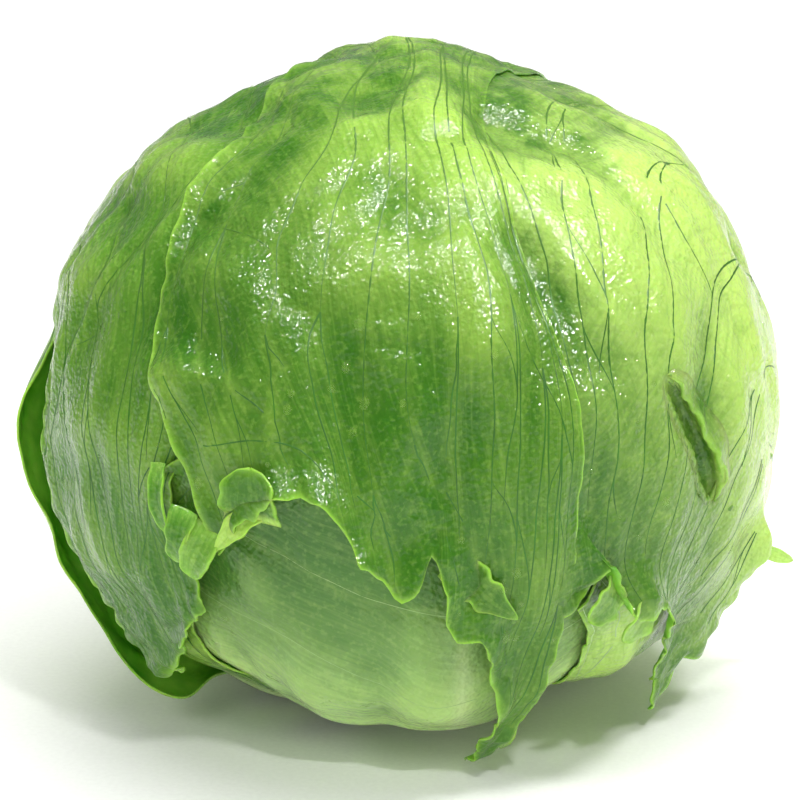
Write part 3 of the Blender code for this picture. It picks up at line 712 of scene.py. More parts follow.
def tear_strip(points, masks):
    """The torn strip that lines the tear: positions, masks and map places as a grid, from its bottom up."""
    s, path, right = tear_path()
    opening = np.sin(math.pi * s) ** 0.6
    tree = KDTree(points.shape[0] * points.shape[1])
    for i, place in enumerate((points - HEAD_CENTRE).reshape(-1, 3)):
        tree.insert(Vector(place).normalized(), i)
    tree.balance()
    radii = np.linalg.norm(points - HEAD_CENTRE, axis=-1).reshape(-1)
    offsets, heights = (np.array(TEAR_PROFILE) * (TEAR_SPREAD, 1)).T * MM
    steps = np.arange(len(TEAR_PROFILE))
    lip = falloff(steps - sum(TEAR_LIP) / 2, 1.6)
    gap = falloff(steps - 6, 3.4, 6)
    ball = path * HEAD_RADIUS / MM
    ragged = 1.4 * waves(ball, 5, 61) + 1.1 * waves(ball, 2.2, 62)
    flap = falloff(s - TEAR_FLAP[0], TEAR_FLAP[1])
    rows, nearby = [], []
    for i in range(len(s)):
        over = TEAR_RAGGED_OVER * ragged[i] + TEAR_FLAP_OVER * flap[i]
        up = TEAR_RAGGED_UP * ragged[i] + TEAR_FLAP_UP * flap[i]
        x = offsets * (0.3 + 0.7 * opening[i]) + lip * over * MM * opening[i]
        h = heights * opening[i] + lip * up * MM * opening[i] + 0.03 * MM
        ways = unit(path[i] + right[i] * (x / HEAD_RADIUS)[:, None])
        found = [tree.find_n(way, 4) for way in ways]
        weights = np.array([[1 / (distance + 1e-5) for *_, distance in near] for near in found])
        indices = np.array([[index for _, index, _ in near] for near in found])
        ground = (weights * radii[indices]).sum(axis=1) / weights.sum(axis=1)
        rows.append(HEAD_CENTRE + ways * (ground + h)[:, None])
        nearby.append(indices[:, 0])
    nearby = np.array(nearby)
    strip = {mask: masks[mask].reshape(-1)[nearby] for mask in MASKS}
    open_here = opening[:, None]
    # Along the tear the lip's rim gets the paler edge, partly a painted highlight; the floor of the gap gets painted
    # shade in place of the pale foot, and the curled flap gets painted light.
    strip["edge"] = np.maximum(strip["edge"], falloff(steps - TEAR_LIP[0] - 0.5, 1.3) * open_here)
    strip["hollow_shade"] = np.maximum(strip["hollow_shade"], 1.3 * gap * open_here)
    strip["foot"] = strip["foot"] * (1 - gap * open_here)
    strip["crest_light"] = np.maximum(strip["crest_light"], lip * flap[:, None]) * (1 - gap * open_here)
    length = np.linspace(0, 30, len(s))[:, None]
    blade_uv, grain = paired(0.5 + offsets, 0.8 + 0.001 * length), paired(offsets / MM, length)
    turned = {mask: values[::-1] for mask, values in strip.items()}
    return np.array(rows)[::-1], turned, (blade_uv[::-1], grain[::-1])


def rag_strip(foot, end, width, blunt, deep, seed):
    """A small rag of margin from its foot to its end: positions, masks and map places as a grid."""
    s = np.linspace(0, 1, 26)
    ends = []
    for azimuth, elevation, lift in (foot, end):
        d = direction(azimuth, elevation)
        shape = relief(d, HEAD_RELIEF) + blade_unevenness(d)
        ends.append((d * (ball_radius(d) + shape + lift * MM), d))
    (start, up), (stop, _) = ends
    heading = stop - start
    length = np.linalg.norm(heading)
    side = np.cross(heading, up)
    side /= np.linalg.norm(side)
    middle = start + heading * s[:, None] + up * (0.14 * length * np.sin(math.pi * s))[:, None]
    ragged = waves(paired(s * length / MM, 0 * s), 4, seed + 80)
    half = width * MM / 2 * (1 - s**blunt) ** (0.5 if blunt > 2.5 else 1.0) * (1 + 0.1 * ragged) + 0.1 * MM
    t = np.linspace(-1, 1, 15)
    uneven = 1 + 0.8 * waves(paired(s, s) * 9, 5, seed + 90)
    cup = (0.18 * t**2 - 0.06) * half[:, None] * uneven[:, None]
    grid = middle[:, None] + side * (half[:, None] * t)[..., None] + up * cup[..., None]
    masks = {mask: np.zeros(grid.shape[:2]) for mask in MASKS}
    rim = np.maximum(np.abs(t) ** 8 + 0 * s[:, None], s[:, None] ** 14 + 0 * t)
    # The rag's rim gets the paler edge, partly a painted highlight; deep lays painted shade over the rag and what is
    # left of it painted light.
    masks["edge"] += np.clip(rim, 0, 1) * smooth_step(s, 0.0, 0.3)[:, None]
    masks["hollow_shade"] += deep * smooth_step(s, 0.0, 0.35)[:, None]
    masks["crest_light"] += 0.5 * (1 - deep)
    up_rag = s[:, None]
    return grid + HEAD_CENTRE, masks, (paired(0.5 + 0.02 * t, 0.9 + 0.05 * up_rag), paired(t * width, up_rag * 10))


def mesh_object(name, bm):
    """A new object at the origin with a bmesh's faces."""
    mesh = bpy.data.meshes.new(name)
    bm.to_mesh(mesh)
    bm.free()
    obj = bpy.data.objects.new(name, mesh)
    bpy.context.scene.collection.objects.link(obj)
    mesh.shade_smooth()
    return obj


def lay_grid(bm, points, masks, maps, hidden=None):
    """Adds a grid laid on the given points to a bmesh that has the blade's masks and maps."""
    rows, columns = points.shape[:2]
    made = bmesh.ops.create_grid(bm, x_segments=columns - 1, y_segments=rows - 1, size=1)["verts"]
    layers = {mask: bm.verts.layers.float[mask] for mask in MASKS}
    uv_layers = [bm.loops.layers.uv[name] for name in MAPS]
    places = {}
    for vert in made:
        c = round((vert.co.x + 1) / 2 * (columns - 1))
        r = round((vert.co.y + 1) / 2 * (rows - 1))
        places[vert] = (r, c)
        vert.co = points[r, c]
        for mask, layer in layers.items():
            vert[layer] = masks[mask][r, c]
    faces = {face for vert in made for face in vert.link_faces}
    for face in faces:
        for loop in face.loops:
            for uv_layer, places_on_map in zip(uv_layers, maps):
                loop[uv_layer].uv = places_on_map[places[loop.vert]]
    if hidden is not None:
        gone = [face for face in faces if all(hidden[places[vert]] for vert in face.verts)]
        bmesh.ops.delete(bm, geom=gone, context="FACES")


def blade_mesh():
    """An empty bmesh with the blade's masks and maps."""
    bm = bmesh.new()
    for mask in MASKS:
        bm.verts.layers.float.new(mask)
    for name in MAPS:
        bm.loops.layers.uv.new(name)
    return bm


def lay_vein(bm, places, normals, widths):
    """A vein as a low ridge along a row of places on a blade."""
    steps = len(places)
    made = bmesh.ops.create_grid(bm, x_segments=2, y_segments=steps - 1, size=1)["verts"]
    across = np.cross(unit(np.gradient(places, axis=0)), normals)
    for vert in made:
        side = round(vert.co.x)
        i = round((vert.co.y + 1) / 2 * (steps - 1))
        high = VEIN_LIFT if side == 0 else -0.03 * MM
        vert.co = places[i] + across[i] * side * widths[i] / 2 + normals[i] * high


def linear_rgb(code):
    """Linear red, green and blue of an sRGB hex code."""
    srgb = [int(code[i : i + 2], 16) / 255 for i in (1, 3, 5)]
    return [c / 12.92 if c <= 0.04045 else ((c + 0.055) / 1.055) ** 2.4 for c in srgb]


def add_node(tree, kind, settings=None, values=None, links=None):
    """Adds a node with its settings, input values and links, each link from another node's output."""
    node = tree.nodes.new("ShaderNode" + kind)
    for key, value in (settings or {}).items():
        setattr(node, key, value)
    for key, value in (values or {}).items():
        node.inputs[key].default_value = value
    for key, (source, output) in (links or {}).items():
        tree.links.new(source.outputs[output], node.inputs[key])
    return node


def new_material(name):
    """A material with its node tree and the coordinates of the piece that it lies on."""
    material = bpy.data.materials.new(name)
    material.use_nodes = True
    place = add_node(material.node_tree, "TexCoord")
    return material, material.node_tree, (place, "Object")


def set_shader(material, values, links):
    """Sets a material's one shader: its constants, and its links from other nodes' outputs."""
    tree = material.node_tree
    shader = tree.nodes["Principled BSDF"]
    for key, value in values.items():
        shader.inputs[key].default_value = value
    for key, (source, output) in links.items():
        tree.links.new(source.outputs[output], shader.inputs[key])
    return material


def set_ramp(node, stops):
    """Gives a colour ramp its stops, each (place, linear colour)."""
    ramp = node.color_ramp
    while len(ramp.elements) > len(stops):
        ramp.elements.remove(ramp.elements[-1])
    while len(ramp.elements) < len(stops):
        ramp.elements.new(1.0)
    for element, (place, colour) in zip(ramp.elements, stops):
        element.position = place
        element.color = (*colour, 1.0)


def blend(a, b, share):
    """A colour between two."""
    return [x + (y - x) * share for x, y in zip(a, b)]


def darker(colour, share):
    """A colour with that share of its light."""
    return [c * share for c in colour]


def lay_colours(tree, ground, layers):
    """Lays colours over a ground: each layer is (source, (from, to, share at from, share at to), colour)."""
    under = None
    for source, (low, high, least, most), over in layers:
        share = add_node(
            tree, "MapRange", {"clamp": True},
            {"From Min": low, "From Max": high, "To Min": least, "To Max": most}, {"Value": source},
        )
        values, links = {7: (*over, 1.0)}, {0: (share, "Result")}
        if under is None:
            values[6] = (*ground, 1.0)
        else:
            links[6] = (under, 2)
        under = add_node(tree, "Mix", {"data_type": "RGBA"}, values, links)
    return under, 2


def leaf_tissue(name, settings):
    """Turgid lettuce leaf, grown and rinsed: waxy wet skin over watery green tissue that lets light through.

    The eye sees a soft green that pales towards the foot and the edges, darker in hollows and along veins, with a
    grainy wet sparkle from the skin's cells. The darkening in hollows is painted shade and the lightening on crests
    painted light; the deeper green towards the tip is partly painted shade, the pale edges partly a painted highlight,
    the yellow-green partly painted light, and the sparkle partly light specks painted into the colour.
    """
    material, tree, place = new_material("wet_lettuce_" + name)
    leaf = LEAVES[name]
    yellowness, paleness, *_ = leaf["tones"]
    sunny, pale, cream = settings.sunny_green, settings.pale_green, settings.rib_white
    # The base leans towards yellow-green and the pale green, partly the leaf's own colour and partly painted light.
    # light and shade are the colours of painted light and painted shade, also used for random mottles and streaks.
    base = blend(blend(settings.blade_green, sunny, yellowness), pale, paleness)
    light = blend(base, sunny, 0.62 - 0.3 * paleness)
    shade = blend(base, settings.deep_green_and_shade, 0.95)

    masks = {mask: (add_node(tree, "Attribute", {"attribute_name": mask}), "Fac") for mask in MASKS}
    noises = {}
    for key, (size, detail, roughness) in TISSUE_NOISES.items():
        values = {"Scale": 1 / (size * MM), "Detail": detail, "Roughness": roughness}
        noises[key] = (add_node(tree, "TexNoise", None, values, {"Vector": place}), "Fac")
    grain_map = add_node(tree, "UVMap", {"uv_map": "grain"})
    pace = leaf.get("streaks", STREAK_PACE)
    run = add_node(tree, "Mapping", None, {"Scale": pace}, {"Vector": (grain_map, "UV")})
    streaks = (add_node(tree, "TexNoise", None, {"Scale": 1.0, "Detail": 4.0}, {"Vector": (run, "Vector")}), "Fac")
    patchy = add_node(
        tree, "MapRange", {"clamp": True},
        {"From Min": 0.4, "From Max": 0.58, "To Min": 0.6, "To Max": 1.0}, {"Value": noises["patch"]},
    )
    hollow_shade = add_node(tree, "Math", {"operation": "MULTIPLY"}, None, {0: masks["hollow_shade"], 1: (patchy, "Result")})
    layers = [
        (noises["cloud"], (0.4, 0.62, 0, 1), light),
        (noises["mottle"], (0.5, 0.75, 0, 0.4), shade),
        (streaks, (0.45, 0.7, 0, 0.3), shade),
        (streaks, (0.5, 0.3, 0, 0.22 + 0.3 * paleness), light),
        # Painted light on the crests.
        (masks["crest_light"], (0, 1, 0, 0.65), light),
        # Light specks painted in as a sparkle of the wet skin.
        (noises["painted_sparkle"], (0.5, 0.7, 0, 0.36), blend(light, cream, 0.3)),
        # Deeper green towards the tip, partly painted shade.
        (masks["tip"], (0, 1, 0, 0.92), shade),
        # Painted light on the crests again, over the deeper green of the tip.
        (masks["crest_light"], (0.2, 1, 0, 0.2), light),
        # Painted shade in the hollows, broken up by patches.
        ((hollow_shade, "Value"), (0, 1, 0, 0.93), shade),
        (streaks, (0.5, 0.3, 0, 0.1), light),
        # Light specks painted in as a sparkle of the wet skin, fainter.
        (noises["painted_sparkle"], (0.52, 0.7, 0, 0.12), light),
    ]
    if "net" in leaf:
        strength, cells = leaf["net"]
        blade_map = add_node(tree, "UVMap", {"uv_map": "blade"})
        net = add_node(tree, "Mapping", None, {"Scale": cells}, {"Vector": (blade_map, "UV")})
        bend = add_node(tree, "TexNoise", None, {"Scale": 1.2, "Detail": 2.0}, {"Vector": (net, "Vector")})
        bent = add_node(tree, "Mix", {"data_type": "VECTOR"}, {0: 0.35}, {4: (net, "Vector"), 5: (bend, "Color")})
        edges = add_node(tree, "TexVoronoi", {"feature": "DISTANCE_TO_EDGE"}, {"Scale": 1.0}, {"Vector": (bent, 1)})
        layers.append(((edges, "Distance"), (0.05, 0, 0, strength), settings.vein_green))
    layers += [
        (masks["vein"], (0, 1, 0, 0.12), light),
        (masks["foot"], (0, 1, 0, 0.8), pale),
        (masks["rib"], (0, 1, 0, 0.7), cream),
        # Paler edge, partly a painted highlight along the rim.
        (masks["edge"], (0, 1, 0, 0.62), settings.edge_green),
    ]

    cells = add_node(
        tree, "TexVoronoi", {"feature": "SMOOTH_F1"}, {"Scale": 1 / (0.9 * MM), "Smoothness": 0.6},
        {"Vector": place},
    )
    uneven = None
    for height, strength, deep in ((streaks, 0.35, 0.3), (noises["fine"], 0.7, 0.5), ((cells, "Distance"), 0.8, 0.25)):
        links = {"Height": height} | ({"Normal": (uneven, "Normal")} if uneven else {})
        uneven = add_node(tree, "Bump", None, {"Strength": strength, "Distance": deep * MM}, links)
    wet = add_node(
        tree, "MapRange", {"clamp": True},
        {"From Min": 0.35, "From Max": 0.7, "To Min": 0.26, "To Max": 0.46}, {"Value": noises["mottle"]},
    )
    constants = SOFT_TISSUE | {
        "IOR": 1.36, "Specular IOR Level": 0.1, "Coat Weight": 0.9, "Coat Roughness": 0.06, "Coat IOR": 1.33,
    }
    return set_shader(
        material, constants,
        {
            "Base Color": lay_colours(tree, base, layers),
            "Roughness": (wet, "Result"),
            "Normal": (uneven, "Normal"),
            "Coat Normal": (uneven, "Normal"),
        },
    )


def leaf_underside(settings):
    """The inner side of a lettuce leaf: duller and a deeper green, with darker clouds and a fine grain. Its green is
    lightened towards yellow-green as painted light, for the shade that it lies in, and its paler edge is partly a
    painted highlight.
    """
    material, tree, place = new_material("lettuce_leaf_underside")
    green = settings.blade_green
    edge = (add_node(tree, "Attribute", {"attribute_name": "edge"}), "Fac")
    cloud = (add_node(tree, "TexNoise", None, {"Scale": 1 / (9 * MM), "Detail": 4.0}, {"Vector": place}), "Fac")
    fine = (add_node(tree, "TexNoise", None, {"Scale": 1 / (1.8 * MM), "Detail": 3.0}, {"Vector": place}), "Fac")
    uneven = add_node(tree, "Bump", None, {"Strength": 0.4, "Distance": 0.2 * MM}, {"Height": fine})
    layers = [
        (cloud, (0.35, 0.65, 0, 1), blend(green, settings.deep_green_and_shade, 0.2)),
        # Paler edge, partly a painted highlight along the rim.
        (edge, (0, 1, 0, 0.55), settings.edge_green),
    ]
    # Lightened towards yellow-green: painted light for the shade that the inner side lies in.
    colour = lay_colours(tree, blend(green, settings.sunny_green, 0.4), layers)
    return set_shader(
        material, SOFT_TISSUE | {"Roughness": 0.42, "IOR": 1.4},
        {"Base Color": colour, "Normal": (uneven, "Normal")},
    )


def vein_tissue(name, colours, patch):
    """Skin of a lettuce leaf's veins: water-filled strands, darker or paler than the blade that they lie on."""
    material, tree, place = new_material(name)
    dark, light, upper = colours
    patches = add_node(tree, "TexNoise", None, {"Scale": 1 / (patch * MM), "Detail": 3.0}, {"Vector": place})
    apart = add_node(tree, "SeparateXYZ", None, None, {"Vector": place})
    # The upper colour, taken on between the heights of VEINS_PALE, is painted light higher up the head.
    layers = [((patches, "Fac"), (0.3, 0.7, 0, 1), light), ((apart, "Z"), (*VEINS_PALE, 0, 1), upper)]
    return set_shader(material, {"Roughness": 0.38, "IOR": 1.4}, {"Base Color": lay_colours(tree, dark, layers)})


def heart_tissue(settings):
    """Inner lettuce leaves: blanched, crisp and pale, with soft clouds and a fine grain."""
    material, tree, place = new_material("blanched_lettuce_heart")
    clouds = add_node(tree, "TexNoise", None, {"Scale": 1 / (14 * MM), "Detail": 4.0}, {"Vector": place})
    ramp = add_node(tree, "ValToRGB", None, None, {"Fac": (clouds, "Fac")})
    set_ramp(ramp, [(0.35, settings.pale_green), (0.7, settings.rib_white)])
    grain = add_node(tree, "TexNoise", None, {"Scale": 1 / (1.5 * MM), "Detail": 3.0}, {"Vector": place})
    uneven = add_node(tree, "Bump", None, {"Strength": 0.4, "Distance": 0.2 * MM}, {"Height": (grain, "Fac")})
    return set_shader(
        material, {"Roughness": 0.4, "IOR": 1.42}, {"Base Color": (ramp, "Color"), "Normal": (uneven, "Normal")}
    )


def cut_stem_tissue(settings):
    """Lettuce stem, cut with a knife: wet cream pith with a browned ring of sap vessels near its rim."""
    material, tree, place = new_material("cut_lettuce_stem")
    cream, brown = settings.rib_white, settings.sap_brown
    tan = blend(cream, brown, 0.4)
    apart = add_node(tree, "SeparateXYZ", None, None, {"Vector": place})
    flat = add_node(tree, "CombineXYZ", None, None, {"X": (apart, "X"), "Y": (apart, "Y")})
    radius = add_node(tree, "VectorMath", {"operation": "LENGTH"}, None, {0: (flat, "Vector")})
    values = {"Scale": 1 / (4 * MM), "Detail": 5.0, "Roughness": 0.65}
    rough = add_node(tree, "TexNoise", None, values, {"Vector": place})
    wander = add_node(
        tree, "Math", {"operation": "MULTIPLY_ADD"}, {1: 3.5 * MM}, {0: (rough, "Fac"), 2: (radius, "Value")}
    )
    share = add_node(tree, "MapRange", None, {"From Min": 0.0, "From Max": 20 * MM}, {"Value": (wander, "Value")})
    ramp = add_node(tree, "ValToRGB", None, None, {"Fac": (share, "Result")})
    set_ramp(ramp, [(0.0, cream), (0.45, cream), (0.62, tan), (0.7, cream), (0.86, brown), (1.0, tan)])
    uneven = add_node(tree, "Bump", None, {"Strength": 0.6, "Distance": 0.4 * MM}, {"Height": (rough, "Fac")})
    return set_shader(
        material, {"Roughness": 0.45, "IOR": 1.42, "Subsurface Weight": 0.2, "Subsurface Scale": 2 * MM},
        {"Base Color": (ramp, "Color"), "Normal": (uneven, "Normal")},
    )


def clear_water():
    """Water in beads on the waxy skin: thin and clear, with one small bright light in each."""
    material, tree, place = new_material("clear_water")
    ripple = add_node(tree, "TexNoise", None, {"Scale": 1 / (2 * MM), "Detail": 1.0}, {"Vector": place})
    uneven = add_node(tree, "Bump", None, {"Strength": 0.1, "Distance": 0.05 * MM}, {"Height": (ripple, "Fac")})
    constants = {
        "Base Color": (*linear_rgb(WATER_OVER_LEAF), 1.0), "Alpha": 0.13, "Roughness": 0.04, "IOR": 1.333,
        "Specular IOR Level": 1.0,
    }
    return set_shader(material, constants, {"Normal": (uneven, "Normal")})


def matte_paper():
    """Floor of matte white paper: an even pale ground with the faintest fibre."""
    material, tree, place = new_material("matte_white_paper")
    fibres = add_node(tree, "TexNoise", None, {"Scale": 900.0, "Detail": 2.0}, {"Vector": place})
    ramp = add_node(tree, "ValToRGB", None, None, {"Fac": (fibres, "Fac")})
    set_ramp(ramp, [(0.3, linear_rgb("#f1f1ef")), (0.7, linear_rgb("#f6f6f4"))])
    return set_shader(material, {"Roughness": 0.8}, {"Base Color": (ramp, "Color")})


def finish_piece(obj, material):
    """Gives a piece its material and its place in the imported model."""
    obj.data.materials.append(material)
    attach(obj, BODY)


def colour_property(name, description, code):
    """A setting for a colour."""
    return FloatVectorProperty(name=name, description=description, subtype="COLOR", default=linear_rgb(code))


class LettuceSettings(bpy.types.PropertyGroup):
    """Sizes and colours of the lettuce that a user would change."""

    blade_thickness: FloatProperty(
        name="Blade thickness", description="Thickness of a leaf's blade", default=0.5 * MM, unit="LENGTH"
    )
    vein_width: FloatProperty(
        name="Vein width", description="Width of the veins, as a share of their usual width", default=1.0
    )
    drop_count: IntProperty(
        name="Water drops", description="Number of scattered water drops", default=DROP_COUNT, min=0
    )
    blade_green: colour_property("Blade green", "Green of an outer leaf", "#569a18")
    # Deep green: the colour of painted shade in hollows and, in part, towards the tips, also used for darker mottles.
    deep_green_and_shade: colour_property("Hollow green", "Green in the hollows of a leaf", "#1e5a02")
    # Yellow-green: partly the thinner blades' own colour and partly painted light, on the lit sides of the head and on
    # crests.
    sunny_green: colour_property("Sunny green", "Yellow-green of the thinner blades", "#b4d662")
    # Pale green: partly the blanched foot's own colour and partly painted light from below on the lower front.
    pale_green: colour_property("Pale green", "Green low on a leaf", "#bedd93")
    rib_white: colour_property("Rib white", "White of midribs and of the stem", "#cfe3a5")
    # Edge green: partly the margin's own paler green and partly a painted highlight along the rims.
    edge_green: colour_property("Edge green", "Bright green along a leaf's edge", "#9ccf4a")
    vein_green: colour_property("Vein green", "Dark green of the veins", "#255a08")
    sap_brown: colour_property("Sap brown", "Brown of dried sap on the cut stem", "#a9743c")


class LETTUCE_OT_leaf_blades(bpy.types.Operator):
    """Lays every wrapper leaf over the head"""

    bl_idname = "lettuce.leaf_blades"
    bl_label = "Leaf blades"

    def execute(self, context):
        settings = context.scene.lettuce
        underside = leaf_underside(settings)
        for name in LEAVES:
            _, _, points, masks, maps = leaf_blade(name)
            bm = blade_mesh()
            torn = name == "right_leaf"
            lay_grid(bm, points, masks, maps, torn_away(points) if torn else None)
            if torn:
                lay_grid(bm, *tear_strip(points, masks))
            for i, (leaf, *rag) in enumerate(RAGS):
                if leaf == name:
                    lay_grid(bm, *rag_strip(*rag, i))
            obj = mesh_object(name + "_blade", bm)
            shell = obj.modifiers.new("thickness", "SOLIDIFY")
            shell.thickness = settings.blade_thickness
            shell.offset = -1
            shell.material_offset = 1
            finish_piece(obj, leaf_tissue(name, settings))
            obj.data.materials.append(underside)
            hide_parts(name)
        return {"FINISHED"}


class LETTUCE_OT_leaf_veins(bpy.types.Operator):
    """Draws the veins on every wrapper leaf as low ridges"""

    bl_idname = "lettuce.leaf_veins"
    bl_label = "Leaf veins"

    def execute(self, context):
        settings = context.scene.lettuce
        green, white = settings.vein_green, blend(settings.pale_green, settings.blade_green, 0.35)
        # Upper vein colour: painted light higher up the head.
        upper = blend(green, settings.sunny_green, 0.12)
        dark = vein_tissue("lettuce_vein", (darker(green, 0.85), darker(green, 1.5), upper), 9)
        pale = vein_tissue("pale_lettuce_vein", (darker(white, 0.6), darker(white, 0.8), darker(white, 0.8)), 12)
        for name in LEAVES:
            u, v, points, *_ = leaf_blade(name)
            hidden = torn_away(points) if name == "right_leaf" else np.zeros(points.shape[:2], bool)
            normals = unit(np.cross(np.gradient(points, axis=1), np.gradient(points, axis=0)))
            bm = bmesh.new()
            stretch = np.linalg.norm(np.gradient(points, u, axis=1), axis=-1)
            for vein_u, vein_v, rank, gap in leaf_veins(name):
                rough = read_grid(points, u, v, vein_u, vein_v)
                length = np.linalg.norm(np.diff(rough, axis=0), axis=1).sum()
                s = np.linspace(0, 1, max(4, int(length / VEIN_STEP)))
                knots = np.linspace(0, 1, len(vein_u))
                at = u, v, np.interp(s, knots, vein_u), np.interp(s, knots, vein_v)
                widths = VEIN_WIDTHS[rank] * MM * settings.vein_width * (1 - VEIN_NARROWS * s - VEIN_ENDS * s**6)
                apart = read_grid(stretch, *at) * gap
                places, ups = read_grid(points, *at), read_grid(normals, *at)
                turning = np.linalg.norm(np.gradient(unit(np.gradient(places, axis=0)), axis=0), axis=1)
                shown = (apart > NEAREST_VEINS) & (turning < SHARPEST_TURN)
                shown &= read_grid(hidden.astype(float), *at) == 0
                for run in np.split(np.arange(len(s)), np.flatnonzero(np.diff(shown)) + 1):
                    if len(run) > 3 and shown[run[0]]:
                        lay_vein(bm, places[run], ups[run], widths[run])
            obj = mesh_object(name + "_veins", bm)
            finish_piece(obj, pale if name in PALE_VEINED else dark)
        return {"FINISHED"}


class LETTUCE_OT_heart(bpy.types.Operator):
    """Makes the tight inner head under the wrapper leaves"""

    bl_idname = "lettuce.heart"
    bl_label = "Heart"

    def execute(self, context):
        bm = bmesh.new()
        bmesh.ops.create_uvsphere(bm, u_segments=120, v_segments=80, radius=1)
        d = np.array([vert.co.normalized() for vert in bm.verts])
        azimuth = np.degrees(np.arctan2(d[:, 0], -d[:, 1]))
        elevation = np.degrees(np.arcsin(np.clip(d[:, 2], -1, 1)))
        turn = (azimuth + HEART_FOLD_SLANT * elevation) / 360 * HEART_FOLDS % 1
        step = HEART_FOLD_STEP * (turn - 0.5) * np.cos(np.radians(elevation))
        uneven = HEART_SWELLING * waves(d * HEAD_RADIUS / MM, HEART_SWELLING_LENGTH, 9)
        radius = ball_radius(d) - HEART_DEPTH + relief(d, HEAD_RELIEF) + step + uneven
        for vert, place in zip(bm.verts, d * radius[:, None] + HEAD_CENTRE):
            vert.co = place
        obj = mesh_object("heart_leaves", bm)
        finish_piece(obj, heart_tissue(context.scene.lettuce))
        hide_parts("heart")
        return {"FINISHED"}


class LETTUCE_OT_cut_stem(bpy.types.Operator):
    """Makes the cut stem with its scarred side"""

    bl_idname = "lettuce.cut_stem"
    bl_label = "Cut stem"

    def execute(self, context):
        low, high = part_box("cut_stem")
        radius = (high[0] - low[0]) / 2
        bm = bmesh.new()
        bmesh.ops.create_cone(
            bm, cap_ends=True, segments=96, radius1=radius, radius2=radius * STEM_TAPER, depth=high[2] - low[2]
        )
        bmesh.ops.translate(bm, verts=bm.verts, vec=(0, 0, (high[2] - low[2]) / 2))
        walls = [e for e in bm.edges if abs(e.verts[0].co.z - e.verts[1].co.z) > MM]
        bmesh.ops.subdivide_edges(bm, edges=walls, cuts=12, use_grid_fill=True)
        rims = [e for e in bm.edges if e.is_manifold and e.calc_face_angle(0) > math.radians(60)]
        bmesh.ops.bevel(
            bm, geom=rims, offset=STEM_RIM, offset_type="OFFSET", segments=3, profile=0.5, affect="EDGES", material=-1
        )
        for vert in bm.verts:
            if 0.9 * MM < vert.co.z < high[2] - MM:
                place = np.array(vert.co) / MM
                swing = 0.5 * waves(place, 7, 21) + 0.35 * math.sin(math.atan2(vert.co.y, vert.co.x) * STEM_FLUTES)
                out = Vector((vert.co.x, vert.co.y, 0)).normalized()
                vert.co -= out * (0.5 + 0.4 * abs(swing)) * MM
        obj = mesh_object("stem", bm)
        finish_piece(obj, cut_stem_tissue(context.scene.lettuce))
        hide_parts("cut_stem")
        return {"FINISHED"}


class LETTUCE_OT_water_drops(bpy.types.Operator):
    """Scatters beads of water over the leaves"""

    bl_idname = "lettuce.water_drops"
    bl_label = "Water drops"

    def execute(self, context):
        rng = np.random.default_rng(DROP_SEED)
        scattered = []
        for _ in range(context.scene.lettuce.drop_count):
            azimuth, elevation = rng.uniform(-180, 180), math.degrees(math.asin(rng.uniform(-0.45, 0.98)))
            scattered.append((azimuth, elevation, rng.uniform(0.7, 1.0) ** 3 * DROP_WIDEST))
        bpy.context.view_layer.update()
        graph = context.evaluated_depsgraph_get()
        centre = Vector(HEAD_CENTRE)
        bm = bmesh.new()
        for azimuth, elevation, width in [*SEEN_DROPS, *scattered]:
            out = Vector(direction(azimuth, elevation))
            hit, place, normal, *_ = context.scene.ray_cast(graph, centre + out * 0.2, -out)
            if not hit or normal.dot(out) < DROP_STEEPEST:
                continue
            turn = normal.to_track_quat("Z", "Y").to_matrix().to_4x4()
            half = width * MM / 2
            size = Matrix.Diagonal((half, half * rng.uniform(1.0, 1.3), width * MM * DROP_HEIGHT, 1))
            bmesh.ops.create_icosphere(bm, subdivisions=3, radius=1, matrix=Matrix.Translation(place) @ turn @ size)
        if not bm.verts:
            raise RuntimeError("no water drop found a leaf to lie on")
        obj = mesh_object("water_drops", bm)
        finish_piece(obj, clear_water())
        return {"FINISHED"}


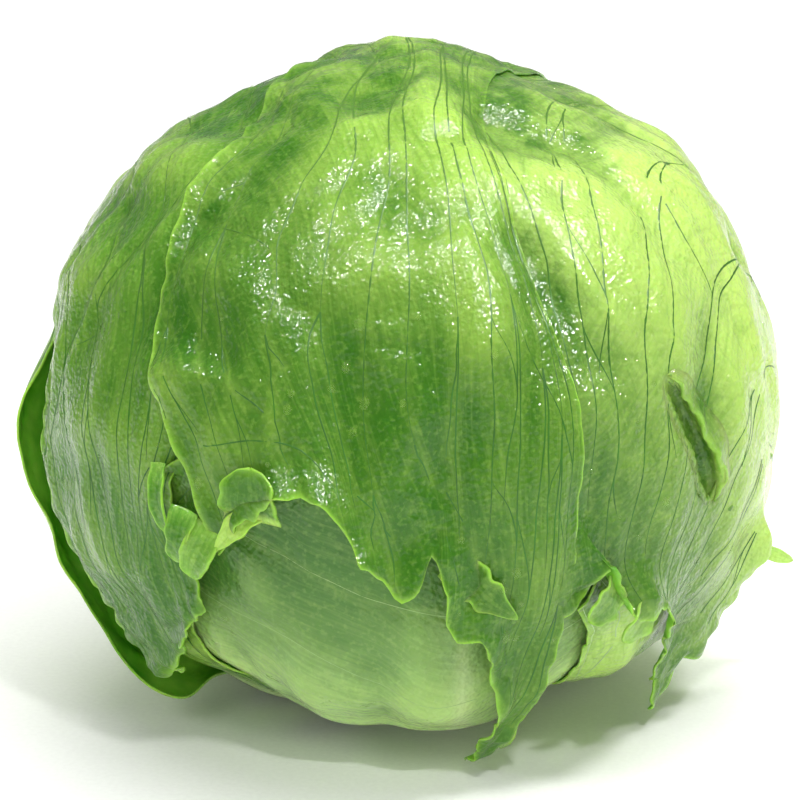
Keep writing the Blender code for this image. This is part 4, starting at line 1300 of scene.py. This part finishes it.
class LETTUCE_OT_stage(bpy.types.Operator):
    """Sets the pale floor, the soft lights and the camera"""

    bl_idname = "lettuce.stage"
    bl_label = "Stage"

    def execute(self, context):
        bm = bmesh.new()
        bmesh.ops.create_grid(bm, x_segments=1, y_segments=1, size=6)
        floor = mesh_object("floor", bm)
        floor.data.materials.append(matte_paper())

        for name, place, aim, size, power, lit in LIGHTS:
            light = bpy.data.lights.new(name, "AREA")
            light.shape = "DISK"
            light.size = size
            light.energy = power
            lamp = bpy.data.objects.new(name, light)
            context.scene.collection.objects.link(lamp)
            lamp.location = place
            lamp.rotation_euler = (Vector(aim) - lamp.location).to_track_quat("-Z", "Y").to_euler()
            lamp.visible_glossy = lit != "ground"
            lamp.visible_diffuse = lit != "shine"
        world = bpy.data.worlds.new("pale_room")
        world.use_nodes = True
        world.node_tree.nodes["Background"].inputs["Color"].default_value = (*linear_rgb("#ffffff"), 1.0)
        world.node_tree.nodes["Background"].inputs["Strength"].default_value = ROOM_LIGHT
        context.scene.world = world
        context.scene.view_settings.view_transform = "Standard"

        elevation = math.radians(CAMERA_ELEVATION)
        back = Vector((0, -math.cos(elevation), math.sin(elevation)))
        camera = bpy.data.cameras.new("camera")
        camera.sensor_width = SENSOR
        camera.lens = CAMERA_LENS
        camera.clip_start = 0.01
        eye = bpy.data.objects.new("camera", camera)
        context.scene.collection.objects.link(eye)
        eye.location = Vector(CAMERA_TARGET) + back * CAMERA_DISTANCE
        eye.rotation_euler = (-back).to_track_quat("-Z", "Y").to_euler()
        context.scene.camera = eye
        return {"FINISHED"}


class LETTUCE_PT_panel(bpy.types.Panel):
    """The lettuce's sizes, colours and operators"""

    bl_idname = "LETTUCE_PT_panel"
    bl_label = "Iceberg Lettuce"
    bl_space_type = "VIEW_3D"
    bl_region_type = "UI"
    bl_category = "Lettuce"

    def draw(self, context):
        for name in LettuceSettings.__annotations__:
            self.layout.prop(context.scene.lettuce, name)
        for operator in OPERATORS:
            self.layout.operator(operator.bl_idname)


OPERATORS = (
    LETTUCE_OT_leaf_blades,
    LETTUCE_OT_leaf_veins,
    LETTUCE_OT_heart,
    LETTUCE_OT_cut_stem,
    LETTUCE_OT_water_drops,
    LETTUCE_OT_stage,
)
CLASSES = (LettuceSettings, *OPERATORS, LETTUCE_PT_panel)


def register():
    for cls in CLASSES:
        bpy.utils.register_class(cls)
    bpy.types.Scene.lettuce = PointerProperty(type=LettuceSettings)


def unregister():
    del bpy.types.Scene.lettuce
    for cls in reversed(CLASSES):
        bpy.utils.unregister_class(cls)


def main():
    register()
    bpy.ops.lettuce.leaf_blades()
    bpy.ops.lettuce.leaf_veins()
    bpy.ops.lettuce.heart()
    bpy.ops.lettuce.cut_stem()
    bpy.ops.lettuce.water_drops()
    bpy.ops.lettuce.stage()


if __name__ == "__main__":
    main()
